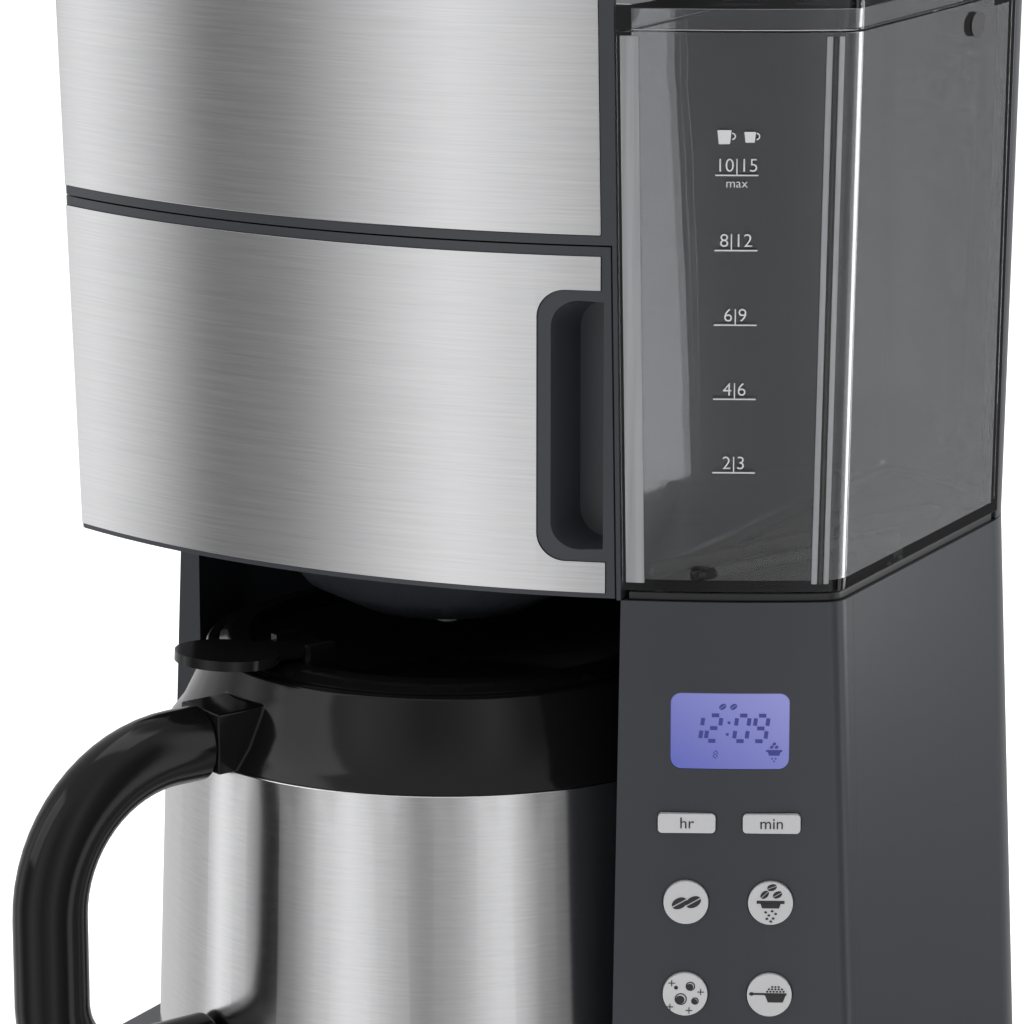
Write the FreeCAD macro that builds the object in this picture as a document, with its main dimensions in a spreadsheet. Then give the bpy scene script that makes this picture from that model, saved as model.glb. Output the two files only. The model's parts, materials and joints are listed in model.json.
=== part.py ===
import FreeCAD, Part
import math
import os

import Sketcher
from FreeCAD import Placement, Rotation, Vector

# Drip coffee maker with a grinder, a swing-out filter door, a lift-out water tank and a steel vacuum jug.
# Lengths in millimetres. X points right, Y back and Z up, measured from the jug's axis on the table until
# the last step moves the origin to the middle of the footprint.

DRIVING = {
    # overall form: one gentle front arc, narrowest at the waist
    "front_radius": 230.0, "front_reach": 62.5,
    "left_base": 92.0, "left_waist": 85.2, "left_deck": 94.0,
    "split_base": 74.3, "split_waist": 76.2, "split_deck": 73.2,
    "right_base": 130.0, "right_waist": 125.0, "right_deck": 127.3,
    "rear_base": 116.0, "rear_waist": 110.5, "rear_deck": 112.5,
    "rear_corner_right": 38.0, "rear_corner_left": 30.0,
    "front_corner": 6.0, "front_corner_run": 3.4, "left_corner": 3.0, "left_corner_run": 2.0,
    "foot_height": 3.0, "base_top": 17.0, "waist": 164.0, "door_top": 252.4, "deck": 350.0,
    "base_spread": 3.0, "wall": 2.6, "gap": 0.4, "fit": 0.05, "press": 0.02, "sliding": 0.3,
    # bay for the jug
    "bay_radius": 84.0, "bay_left": 80.0, "bay_right": 78.0, "column_front": 4.0, "cavity_front": 34.0,
    # tower front and its controls
    "fascia_return": 5.6, "fascia_side": 7.6, "control_x": 101.5, "control_spread": 10.6,
    "window_width": 29.6, "window_height": 19.6, "window_level": 131.0, "window_corner": 2.6,
    "pad_width": 14.4, "pad_height": 5.0, "pad_level": 107.3, "button_radius": 5.65,
    "button_level": 86.6, "button_pitch": 24.2, "button_proud": 0.8, "button_travel": 1.0,
    "board_depth": 15.0, "board_width": 27.0, "board_thick": 1.6, "switch_height": 3.4,
    # steel panels and the door
    "skin": 0.8, "skin_proud": 0.3, "skin_margin": 0.9, "skin_edge": 1.7, "skin_right": 3.6,
    "upper_skin_top": 341.0, "rail": 2.4, "seam": 0.4,
    "door_thick": 3.2, "door_strip": 1.4, "hinge_x": 80.5, "hinge_y": 41.0, "hinge_pin": 2.5,
    "barrel": 9.5, "barrel_space": 10.1, "pocket_left": 57.5, "pocket_depth": 13.0,
    "pocket_low": 174.5, "pocket_high": 241.0, "pocket_corner": 7.0, "pocket_wall": 1.8,
    # filter and drip bowl
    "holder_radius": 54.0, "holder_top": 238.0, "holder_taper": 4.0,
    "bowl_step": 8.0, "bowl_low": 143.0, "bowl_wall": 2.0,
    "filter_play": 3.4, "filter_taper": 13.6, "filter_floor": 181.0, "filter_wall": 0.8,
    "valve_radius": 3.0, "valve_tip": 139.0, "spring_wire": 0.8,
    # inside
    "ceiling": 243.5, "ceiling_thick": 2.5, "shower_radius": 36.0,
    "burr_x": -5.0, "burr_y": 42.6, "motor_x": 10.0, "motor_radius": 19.0, "motor_low": 205.0,
    "plate_level": 262.0, "plate_thick": 2.5, "gear_module": 1.5, "gear_thick": 8.0,
    "chamber_low": 278.0, "chamber_radius": 31.0, "shaft_radius": 4.0, "chute_radius": 7.0,
    # hopper
    "dial_radius": 60.0, "dial_tube": 20.0, "dial_height": 9.0, "hopper_neck": 50.5, "hopper_radius": 64.0,
    "hopper_height": 48.6, "hopper_wall": 2.4, "knob_height": 18.0,
    # water tank
    "seat_rise": 2.2, "tank_floor": 166.7, "tank_top": 305.0, "tank_wall": 2.5, "tank_seam_y": 77.0,
    "tank_lid_height": 8.0, "tank_valve_x": 100.0, "tank_valve_y": 30.0, "tank_valve_radius": 8.0,
    # jug
    "jug_base_radius": 78.4, "jug_taper": 3.4, "jug_steel_top": 112.0,
    "jug_steel": 0.8, "liner_space": 8.4, "neck_radius": 56.0, "collar_top": 134.5,
    "collar_rim": 64.0, "rim_width": 3.0, "lid_ring": 137.0, "lid_spout": 6.0,
    "handle_angle": 246.0, "handle_reach": 126.0, "handle_high": 119.0, "handle_low": 36.0,
    "handle_bend": 38.0, "handle_turn": 22.0, "handle_thick": 18.0, "handle_width": 17.0,
    "handle_joint": 80.0, "lever_reach": 71.0, "lever_disc": 13.5, "lever_level": 139.0,
    "lever_thick": 2.6, "lever_tilt": 3.6, "lever_pivot": 47.0,
    # heater, hoses, feet and screws
    "heater_radius": 50.0, "heater_width": 16.0, "heater_height": 6.0, "tube_radius": 4.6,
    "hose_level": 10.0, "riser_x": 40.0, "riser_y": 97.0, "feed_x": 25.0, "feed_y": 20.0,
    "screw_grip": 7.0, "cable_hole": 14.0, "tube_hole": 9.0, "post_radius": 4.0, "ear_half": 2.6,
    "foot_radius": 8.0, "foot_inset": 22.0, "screw_radius": 1.5, "screw_inset": 34.0,
    "gland_radius": 6.0, "gland_flange": 9.0, "gland_level": 45.0, "gland_x": 60.0,
}


class Size:
    """A length that keeps the sheet formula it comes from."""

    def __init__(self, value, text):
        self.value, self.text = float(value), text

    def _join(self, other, sign, value, swap=False):
        pair = (text_of(other), self.text) if swap else (self.text, text_of(other))
        return Size(value, "(%s %s %s)" % (pair[0], sign, pair[1]))

    def __add__(self, other):
        return self._join(other, "+", self.value + number(other))

    __radd__ = __add__

    def __sub__(self, other):
        return self._join(other, "-", self.value - number(other))

    def __rsub__(self, other):
        return self._join(other, "-", number(other) - self.value, swap=True)

    def __mul__(self, other):
        return self._join(other, "*", self.value * number(other))

    __rmul__ = __mul__

    def __truediv__(self, other):
        return self._join(other, "/", self.value / number(other))

    def __neg__(self):
        return Size(-self.value, "(0 - %s)" % self.text)


def number(size):
    return size.value if isinstance(size, Size) else float(size)


def text_of(size):
    return size.text if isinstance(size, Size) else "%.6f" % size


def root(size):
    return Size(math.sqrt(size.value), "sqrt(%s)" % size.text)


class Sheet:
    """Reads a driving dimension as a Size that is bound to its cell."""

    def __getattr__(self, name):
        return Size(DRIVING[name], "Sizes." + name)


doc = FreeCAD.newDocument("coffee_maker")
cells = doc.addObject("Spreadsheet::Sheet", "Sizes")
for row, (alias, amount) in enumerate(DRIVING.items(), start=1):
    cells.set("A%d" % row, alias)
    cells.set("B%d" % row, str(amount))
    cells.setAlias("B%d" % row, alias)
doc.recompute()
S = Sheet()
parts = {}


# ---------------------------------------------------------------- drawing helpers

def bind(item, **sizes):
    """Give properties their values and tie them to the sheet."""
    for name, size in sizes.items():
        setattr(item, name, number(size))
        if isinstance(size, Size):
            item.setExpression(name, size.text)
    return item


def put(item, x=0.0, y=0.0, z=0.0, turn=None):
    """Place an item, with its position tied to the sheet."""
    item.Placement = Placement(Vector(number(x), number(y), number(z)), turn or Rotation())
    for axis, size in (("x", x), ("y", y), ("z", z)):
        if isinstance(size, Size):
            item.setExpression("Placement.Base." + axis, size.text)
    return item


def cylinder(name, radius, low, high, x=0.0, y=0.0):
    item = bind(doc.addObject("Part::Cylinder", name), Radius=radius, Height=high - low)
    return put(item, x, y, low)


def rod(name, radius, start, end):
    """A round bar between two points, each a triple of sizes."""
    a, b = (Vector(*[number(v) for v in point]) for point in (start, end))
    item = bind(doc.addObject("Part::Cylinder", name), Radius=radius)
    item.Height = (b - a).Length
    return put(item, *start, turn=Rotation(Vector(0, 0, 1), b - a))


def ball(name, radius, point):
    return put(bind(doc.addObject("Part::Sphere", name), Radius=radius), *point)


def block(name, low, high):
    item = doc.addObject("Part::Box", name)
    bind(item, Length=high[0] - low[0], Width=high[1] - low[1], Height=high[2] - low[2])
    return put(item, *low)


def cut(name, base, *tools):
    """Take every tool away from the base."""
    for index, tool in enumerate(tools):
        step = doc.addObject("Part::Cut", name if index == len(tools) - 1 else name + "_cut")
        step.Base, step.Tool = base, tool
        base = step
    return base


def fuse(name, *items):
    joined = doc.addObject("Part::MultiFuse", name)
    joined.Shapes = list(items)
    joined.Refine = True
    return joined


def common(name, base, tool):
    shared = doc.addObject("Part::Common", name)
    shared.Base, shared.Tool = base, tool
    return shared


def group(name, *items):
    """Several separate solids of one kind that share a node."""
    bundle = doc.addObject("Part::Compound", name)
    bundle.Links = list(items)
    return bundle


def part(name, item):
    """Name an item as one of the machine's pieces."""
    item.Label = name
    parts[name] = item
    return item


def plane_of(body, role):
    return next(item for item in body.Origin.OriginFeatures if item.Role == role)


def new_sketch(body, name, role, level):
    sketch = body.newObject("Sketcher::SketchObject", name)
    sketch.AttachmentSupport = (plane_of(body, role), [""])
    sketch.MapMode = "FlatFace"
    sketch.AttachmentOffset = Placement(Vector(0, 0, number(level)), Rotation())
    if isinstance(level, Size):
        sketch.setExpression("AttachmentOffset.Base.z", level.text)
    return sketch


def bow(start, end, radius, side):
    """The minor arc from start to end; side +1 puts its centre to the left of the way."""
    along = end - start
    half = along.Length / 2
    normal = Vector(-along.y, along.x, 0).normalize()
    centre = start + along * 0.5 + normal * (side * math.sqrt(max(radius ** 2 - half ** 2, 0)))
    first, last = (start, end) if side > 0 else (end, start)
    angles = [math.atan2(p.y - centre.y, p.x - centre.x) for p in (first, last)]
    return Part.ArcOfCircle(Part.Circle(centre, Vector(0, 0, 1), radius), angles[0], angles[1])


def outline(body, name, corners, role="XY_Plane", level=0.0):
    """A closed sketch. A corner is (x, y) or (x, y, radius, side) for an arc to the next corner."""
    sketch = new_sketch(body, name, role, level)
    spots = [Vector(number(c[0]), number(c[1]), 0) for c in corners]
    rules = []
    heads = []
    for index, corner in enumerate(corners):
        start, end = spots[index], spots[(index + 1) % len(corners)]
        if len(corner) > 2:
            sketch.addGeometry(bow(start, end, number(corner[2]), corner[3]), False)
            heads.append((1, 2) if corner[3] > 0 else (2, 1))
        else:
            sketch.addGeometry(Part.LineSegment(start, end), False)
            heads.append((1, 2))
    for index in range(len(corners)):
        after = (index + 1) % len(corners)
        sketch.addConstraint(Sketcher.Constraint("Coincident", index, heads[index][1], after, heads[after][0]))
    for index, corner in enumerate(corners):
        rules.append(("DistanceX", (-1, 1, index, heads[index][0]), corner[0]))
        rules.append(("DistanceY", (-1, 1, index, heads[index][0]), corner[1]))
        if len(corner) > 2:
            rules.append(("Radius", (index,), corner[2]))
    for kind, where, size in rules:
        rule = sketch.addConstraint(Sketcher.Constraint(kind, *where, number(size)))
        if isinstance(size, Size):
            sketch.setExpression("Constraints[%d]" % rule, size.text)
    return sketch


def new_body(name):
    return doc.addObject("PartDesign::Body", name)


def pad(name, corners, low, high, role="XY_Plane"):
    body = new_body(name)
    sketch = outline(body, name + "_outline", corners, role, low)
    feature = body.newObject("PartDesign::Pad", name + "_pad")
    feature.Profile = sketch
    bind(feature, Length=high - low)
    return body


def loft(name, lower, low, upper, high):
    """A drafted block between two outlines."""
    body = new_body(name)
    first = outline(body, name + "_low", lower, level=low)
    second = outline(body, name + "_high", upper, level=high)
    feature = body.newObject("PartDesign::AdditiveLoft", name + "_loft")
    feature.Profile = first
    feature.Sections = [second]
    feature.Ruled = True
    return body


def turned(name, profile, x=0.0, y=0.0):
    """A round piece from its half section, given as (radius, height) corners."""
    body = new_body(name)
    sketch = outline(body, name + "_section", profile, "XZ_Plane")
    feature = body.newObject("PartDesign::Revolution", name + "_turn")
    feature.Profile = sketch
    feature.ReferenceAxis = (sketch, ["V_Axis"])
    feature.Angle = 360.0
    return put(body, x, y)


def pipe(name, radius, points):
    """A round tube as straight runs with a ball at each corner."""
    runs = [rod("%s_run%d" % (name, i), radius, a, b) for i, (a, b) in enumerate(zip(points, points[1:]))]
    joints = [ball("%s_bend%d" % (name, i), radius, p) for i, p in enumerate(points[1:-1])]
    return fuse(name, *(runs + joints))


# ---------------------------------------------------------------- outlines seen from above

ARC_Y = S.front_radius - S.front_reach


def front_y(x, inset=0.0):
    """Where the front arc stands at a distance x from the jug's axis."""
    radius = S.front_radius - inset
    return ARC_Y - root(radius * radius - x * x)


def between(low, high, low_level, high_level, level):
    """A width at some level of a drafted wall."""
    return low + (high - low) * ((level - low_level) / (high_level - low_level))


def housing_plan(left, right, rear, inset=0.0):
    """The brew housing: front arc, left wall, rear wall and the flat wall next to the tank."""
    x_left, x_right, y_rear = -left + inset, right - inset, rear - inset
    run = S.left_corner_run
    return [
        (x_left + run * 0.93, front_y(x_left + run * 0.93, inset), S.front_radius - inset, 1),
        (x_right, front_y(x_right, inset)),
        (x_right, y_rear),
        (x_left + S.rear_corner_left, y_rear, S.rear_corner_left, 1),
        (x_left, y_rear - S.rear_corner_left),
        (x_left, front_y(x_left, inset) + run, S.left_corner, 1),
    ]


def full_plan(left, right, rear, inset=0.0):
    """The whole machine: as the housing, but as far as the tower's right wall."""
    x_left, x_right, y_rear = -left + inset, right - inset, rear - inset
    run, corner = S.left_corner_run, S.front_corner_run
    return [
        (x_left + run * 0.93, front_y(x_left + run * 0.93, inset), S.front_radius - inset, 1),
        (x_right - corner * 0.85, front_y(x_right - corner * 0.85, inset), S.front_corner, 1),
        (x_right, front_y(x_right, inset) + corner),
        (x_right, y_rear - S.rear_corner_right, S.rear_corner_right, 1),
        (x_right - S.rear_corner_right, y_rear),
        (x_left + S.rear_corner_left, y_rear, S.rear_corner_left, 1),
        (x_left, y_rear - S.rear_corner_left),
        (x_left, front_y(x_left, inset) + run, S.left_corner, 1),
    ]


def tower_plan(left, split, right, rear):
    """Column and tower around the jug's bay, as one outline."""
    bay, corner = S.bay_radius, S.front_corner_run
    return [
        (split, front_y(split), S.front_radius, 1),
        (right - corner * 0.85, front_y(right - corner * 0.85), S.front_corner, 1),
        (right, front_y(right) + corner),
        (right, rear - S.rear_corner_right, S.rear_corner_right, 1),
        (right - S.rear_corner_right, rear),
        (-left + S.rear_corner_left, rear, S.rear_corner_left, 1),
        (-left, rear - S.rear_corner_left),
        (-left, S.column_front),
        (-S.bay_left, S.column_front),
        (-S.bay_left, root(bay * bay - S.bay_left * S.bay_left), bay, -1),
        (0.0, bay, bay, -1),
        (S.bay_right, -root(bay * bay - S.bay_right * S.bay_right)),
    ]


def cavity_plan(left, split, right, rear):
    """The hollow inside column and tower."""
    wall, corner = S.wall, S.front_corner_run
    bay = S.bay_radius + wall
    x_split, x_right, y_rear = split + wall, right - wall, rear - wall
    return [
        (x_split, front_y(x_split, wall), S.front_radius - wall, 1),
        (x_right - corner * 0.85, front_y(x_right - corner * 0.85, wall), S.front_corner, 1),
        (x_right, front_y(x_right, wall) + corner),
        (x_right, y_rear - S.rear_corner_right, S.rear_corner_right, 1),
        (x_right - S.rear_corner_right, y_rear),
        (-left + wall + S.rear_corner_left, y_rear, S.rear_corner_left, 1),
        (-left + wall, y_rear - S.rear_corner_left),
        (-left + wall, S.cavity_front),
        (-root(bay * bay - S.cavity_front * S.cavity_front), S.cavity_front, bay, -1),
        (0.0, bay, bay, -1),
        (S.bay_right + wall, -root(bay * bay - (S.bay_right + wall) * (S.bay_right + wall))),
    ]


def tank_plan(split, right, rear, inset=0.0):
    """The water tank: it stands against the housing wall and tucks into the rear cover."""
    play = S.gap + inset
    x_left, x_right = split + play, right - inset
    corner, bend = S.front_corner_run, S.rear_corner_right - play
    x_bend, y_bend = right - S.wall - S.rear_corner_right, rear - S.wall - S.rear_corner_right
    seam = S.tank_seam_y - play
    return [
        (x_left, front_y(x_left, inset), S.front_radius - inset, 1),
        (x_right - corner * 0.85, front_y(x_right - corner * 0.85, inset), S.front_corner, 1),
        (x_right, front_y(x_right, inset) + corner),
        (x_right, seam),
        (x_bend + root(bend * bend - (seam - y_bend) * (seam - y_bend)), seam, bend, 1),
        (x_bend, y_bend + bend),
        (x_left, y_bend + bend),
    ]


def upper(level):
    """Left, split, right and rear reach of the upper half at a level."""
    pairs = ((S.left_waist, S.left_deck), (S.split_waist, S.split_deck),
             (S.right_waist, S.right_deck), (S.rear_waist, S.rear_deck))
    return [between(low, high, S.waist, S.deck, level) for low, high in pairs]


def lower(level):
    """The same for the lower half, which widens towards the base."""
    pairs = ((S.left_base, S.left_waist), (S.split_base, S.split_waist),
             (S.right_base, S.right_waist), (S.rear_base, S.rear_waist))
    return [between(low, high, S.base_top, S.waist, level) for low, high in pairs]


def housing_block(name, low, high, inset=0.0):
    (left, split, _, rear), (left_up, split_up, _, rear_up) = upper(low), upper(high)
    return loft(name, housing_plan(left, split, rear, inset), low,
                housing_plan(left_up, split_up, rear_up, inset), high)


def full_block(name, low, high, inset=0.0):
    (left, _, right, rear), (left_up, _, right_up, rear_up) = upper(low), upper(high)
    return loft(name, full_plan(left, right, rear, inset), low,
                full_plan(left_up, right_up, rear_up, inset), high)


def tower_block(name, plan, low, high):
    return loft(name, plan(*lower(low)), low, plan(*lower(high)), high)


def tank_block(name, low, high, inset=0.0):
    (_, split, right, rear), (_, split_up, right_up, rear_up) = upper(low), upper(high)
    return loft(name, tank_plan(split, right, rear, inset), low,
                tank_plan(split_up, right_up, rear_up, inset), high)


# ---------------------------------------------------------------- base

def make_base():
    spread, wall, floor = S.base_spread, S.wall, S.foot_height
    top = [S.left_base, S.right_base, S.rear_base]
    low = [size + spread for size in top]
    shell = loft("base_form", full_plan(*low), floor, full_plan(*top), S.base_top)
    hollow = loft("base_hollow", full_plan(*low, inset=wall), floor,
                  full_plan(*top, inset=wall), S.base_top - wall)
    hose_way = cylinder("hose_way", S.cable_hole, S.base_top - 2 * wall, S.base_top + 1,
                        S.tank_valve_x, S.tank_valve_y)
    riser_way = cylinder("riser_way", S.tube_hole, S.base_top - 2 * wall, S.base_top + 1, S.riser_x, S.riser_y)
    shell = cut("base_shell_open", shell, hollow, hose_way, riser_way)
    posts, screws, bores = [], [], []
    for index, (x, y) in enumerate(screw_spots()):
        posts.append(cut("post_bored%d" % index,
                         cylinder("post%d" % index, S.post_radius, floor + wall, S.base_top - wall, x, y),
                         cylinder("post_bore%d" % index, S.screw_radius + S.fit, floor,
                                  S.base_top - S.screw_grip + 1, x, y)))
        shank = cylinder("shank%d" % index, S.screw_radius, floor + 1, S.base_top - S.screw_grip, x, y)
        head = cylinder("head%d" % index, S.screw_radius * 2, floor + 0.2, floor + 1.4, x, y)
        screws.append(fuse("screw%d" % index, shank, head))
        bores.append(cylinder("cover_bore%d" % index, S.screw_radius + 0.2, floor - 1, floor + wall + 1, x, y))
        bores.append(cylinder("head_space%d" % index, S.screw_radius * 2 + 0.2, floor - 1, floor + 1.4, x, y))
    part("base_shell", fuse("base_shell", shell, *posts))
    cover = pad("cover_form", full_plan(*low, inset=wall + 0.8), floor, floor + wall)
    slots = [block("vent%d" % i, (-30.0 + 12 * i, -20.0, floor - 1), (-26.0 + 12 * i, 20.0, floor + wall + 1))
             for i in range(6)]
    part("bottom_cover", cut("bottom_cover", cover, *(bores + slots)))
    part("base_screws", group("base_screws", *screws))
    feet = [cylinder("foot%d" % index, S.foot_radius, 0.0, floor, x, y)
            for index, (x, y) in enumerate(foot_spots())]
    part("rubber_feet", group("rubber_feet", *feet))


def footprint_spots(inset):
    """Four corners of the base, moved in from its edges."""
    return [(-S.left_base + inset, front_y(S.left_base) + inset),
            (S.right_base - inset, front_y(S.right_base) + inset),
            (S.right_base - inset, S.rear_base - inset), (-S.left_base + inset, S.rear_base - inset)]


def foot_spots():
    return footprint_spots(S.foot_inset)


def screw_spots():
    return footprint_spots(S.screw_inset)


# ---------------------------------------------------------------- column and tower

def fascia_region(name, low, high):
    """The slice of the tower that its front moulding takes up."""
    split, right = S.split_waist, S.right_waist
    return pad(name, [
        (split - 20, front_y(0.0) - 20), (right + 20, front_y(0.0) - 20),
        (right + 20, front_y(right) + S.fascia_side), (right - 7, front_y(right) + S.fascia_side),
        (split + 3, front_y(split) + S.fascia_return), (split - 20, front_y(split) + S.fascia_return)],
        low, high)


def tower_turn():
    return Rotation(Vector(0, 0, 1), math.degrees(math.asin(S.control_x.value / S.front_radius.value)))


def on_tower(item):
    """Turn a piece drawn facing -Y at the origin so that it faces out of the tower."""
    outer = Placement(Vector(S.control_x.value, front_y(S.control_x).value, 0), tower_turn())
    item.Placement = outer.multiply(item.Placement)
    return item


def facing_rod(name, radius, depth, proud, across, level):
    """A round bar along the tower's facing direction, from depth behind its surface to proud of it."""
    return group(name, rod(name + "_bar", radius, (across, depth, level), (across, -proud, level)))


def rounded_pad(name, width, height, corner, across, level, depth, proud):
    """A rectangular bar with rounded corners along the facing direction."""
    x0, x1 = across - width / 2, across + width / 2
    z0, z1 = level - height / 2, level + height / 2
    return pad(name, [
        (x0 + corner, z0), (x1 - corner, z0, corner, 1), (x1, z0 + corner), (x1, z1 - corner, corner, 1),
        (x1 - corner, z1), (x0 + corner, z1, corner, 1), (x0, z1 - corner), (x0, z0 + corner, corner, 1)],
        -depth, proud, role="XZ_Plane")


def control_places():
    """Name, column and row of every control; row 0 is the pair of small pads."""
    names = [("hr_button", "min_button"), ("strength_button", "grind_button"),
             ("clean_button", "ground_button"), ("power_button", "timer_button")]
    for line, pair in enumerate(names):
        for side, name in zip((-1, 1), pair):
            yield name, S.control_spread * side, line


def control_level(line):
    return S.pad_level if line == 0 else S.button_level - S.button_pitch * (line - 1)


def make_tower():
    low, high = S.base_top, S.waist
    shell = cut("tower_shell", tower_block("tower_form", tower_plan, low, high),
                tower_block("tower_cavity", cavity_plan, low, high))
    gland_y = lower(S.gland_level)[3]
    gland_hole = rod("gland_hole", S.gland_radius + 0.1, (S.gland_x, gland_y - 8, S.gland_level),
                     (S.gland_x, gland_y + 8, S.gland_level))
    column = cut("rear_column", shell, fascia_region("fascia_space", low - 1, high + 1), gland_hole)
    part("rear_column", column)
    gland_stem = rod("gland_stem", S.gland_radius, (S.gland_x, gland_y - 8, S.gland_level),
                     (S.gland_x, gland_y + 1, S.gland_level))
    gland_ring = rod("gland_ring", S.gland_flange, (S.gland_x, gland_y + 0.5, S.gland_level),
                     (S.gland_x, gland_y + 3.5, S.gland_level))
    gland_bore = rod("gland_bore", 3.6, (S.gland_x, gland_y - 9, S.gland_level),
                     (S.gland_x, gland_y + 9, S.gland_level))
    part("cord_gland", cut("cord_gland", fuse("gland_solid", gland_stem, gland_ring), gland_bore))

    # the fascia, with one opening for the window and one for each control
    openings = [rounded_pad("window_opening", S.window_width, S.window_height, S.window_corner,
                            0.0, S.window_level, 12.0, 8.0)]
    for name, across, line in control_places():
        level = control_level(line)
        if line == 0:
            openings.append(rounded_pad(name + "_opening", S.pad_width + 0.5, S.pad_height + 0.5, 1.35,
                                        across, level, 12.0, 8.0))
        else:
            openings.append(facing_rod(name + "_opening", S.button_radius + 0.25, 12.0, 8.0, across, level))
    for opening in openings:
        on_tower(opening)
    front = common("fascia_form", shell, fascia_region("fascia_slice", low, high))
    part("tower_fascia", cut("tower_fascia", front, *openings))

    # the pane is a slice of the front arc, so that it lies flush
    pane = on_tower(rounded_pad("window_block", S.window_width - 0.2, S.window_height - 0.2, S.window_corner,
                                0.0, S.window_level, 12.0, 8.0))
    part("lcd_window", common("lcd_window", arc_shell("window_arc", 0.0, 2.0, S.base_top, S.waist), pane))
    screen = block("lcd_form", (-S.window_width / 2 - 1, S.wall + 1.2, S.window_level - S.window_height / 2 - 3),
                   (S.window_width / 2 + 1, S.wall + 6.2, S.window_level + S.window_height / 2 + 3))
    part("lcd_module", on_tower(group("lcd_module", screen)))
    board_low = control_level(3) - 8
    board = block("board_form", (-S.board_width / 2, S.board_depth, board_low),
                  (S.board_width / 2, S.board_depth + S.board_thick, S.window_level + S.window_height / 2 + 4))
    part("control_board", on_tower(group("control_board", board)))
    switches = []
    for name, across, line in control_places():
        level = control_level(line)
        switches.append(block(name + "_switch", (across - 3, S.board_depth - S.switch_height, level - 3),
                              (across + 3, S.board_depth, level + 3)))
        make_button(name, across, level, line == 0)
    part("tact_switches", on_tower(group("tact_switches", *switches)))


def make_button(name, across, level, small):
    """A cap through the fascia, a flange behind it and a stem towards its switch."""
    behind = S.wall + S.sliding + 0.5
    tip = S.board_depth - S.switch_height - S.button_travel - 0.4
    if small:
        cap = rounded_pad(name + "_cap", S.pad_width, S.pad_height, 1.1, across, level, behind + 1,
                          S.button_proud)
        flange = block(name + "_flange", (across - S.pad_width / 2 - 1, behind, level - S.pad_height / 2 - 1),
                       (across + S.pad_width / 2 + 1, behind + 1, level + S.pad_height / 2 + 1))
    else:
        cap = facing_rod(name + "_cap", S.button_radius, behind + 1, S.button_proud, across, level)
        flange = facing_rod(name + "_flange", S.button_radius + 1, behind + 1, -behind, across, level)
    stem = facing_rod(name + "_stem", 1.8, tip, -behind, across, level)
    part(name, on_tower(fuse(name, cap, flange, stem)))


def arc_shell(name, proud, depth, low, high):
    """A slice of the front arc, from proud of it to a depth behind it."""
    outer = cylinder(name + "_outer", S.front_radius + proud, low, high, 0.0, ARC_Y)
    inner = cylinder(name + "_inner", S.front_radius - depth, low - 1, high + 1, 0.0, ARC_Y)
    return cut(name, outer, inner)


def make_tank_seat():
    """The black tray on the tower that the tank stands in."""
    low, high = S.waist, S.waist + S.seat_rise
    _, split, right, rear = lower(S.waist)
    seat = pad("seat_form", tank_plan(split, right, rear, 1.0), low, high)
    pit = pad("seat_pit", tank_plan(split, right, rear, 6.0), high - 1.2, high + 1)
    socket = cylinder("seat_socket", S.tank_valve_radius + S.gap, low - 1, high + 1,
                      S.tank_valve_x, S.tank_valve_y)
    part("tank_seat", cut("tank_seat", seat, pit, socket))
    spout = cylinder("seat_spout", 6.0, low - 14, low - 2, S.tank_valve_x, S.tank_valve_y)
    flange = cylinder("spout_flange", S.tank_valve_radius + 2, low - 2, low, S.tank_valve_x, S.tank_valve_y)
    bore = cylinder("spout_bore", 3.6, low - 15, low + 1, S.tank_valve_x, S.tank_valve_y)
    part("inlet_spout", cut("inlet_spout", fuse("inlet_form", spout, flange), bore))


# ---------------------------------------------------------------- upper housing

def door_plan(left, split, inset=0.0):
    """The door's curved plate seen from above: it covers the housing's front but for a strip."""
    x_left, x_right = -left, split - S.door_strip + inset
    deep = S.door_thick + inset
    run = S.left_corner_run
    return [
        (x_left + run * 0.93, front_y(x_left + run * 0.93), S.front_radius, 1),
        (x_right, front_y(x_right)),
        (x_right, front_y(x_right, deep), S.front_radius - deep, -1),
        (x_left + 8, front_y(x_left + 8, deep)),
        (x_left, front_y(x_left + 8, deep)),
        (x_left, front_y(x_left) + run, S.left_corner, 1),
    ]


def door_space_plan(left, split):
    """As the door plate, with room on every side that meets the frame."""
    x_left, x_right = -left - 5, split - S.door_strip + S.gap
    deep = S.door_thick + S.gap
    return [
        (x_left, front_y(0.0) - 6), (x_right, front_y(0.0) - 6),
        (x_right, front_y(x_right, deep), S.front_radius - deep, -1),
        (x_left + 12, front_y(x_left + 12, deep)), (x_left, front_y(x_left + 12, deep)),
    ]


def pocket_block(name, grow, low, high):
    """The cup behind the door's finger recess."""
    right = upper(high)[1]
    x0, x1 = S.pocket_left - S.pocket_wall - grow, right - S.door_strip - S.gap + grow
    back = front_y(S.pocket_left) + S.pocket_depth + S.pocket_wall + grow
    return block(name, (x0, front_y(0.0), low), (x1, back, high))


def frame_split():
    """Level where the door ends and the upper frame begins."""
    return S.door_top + S.seam


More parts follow.
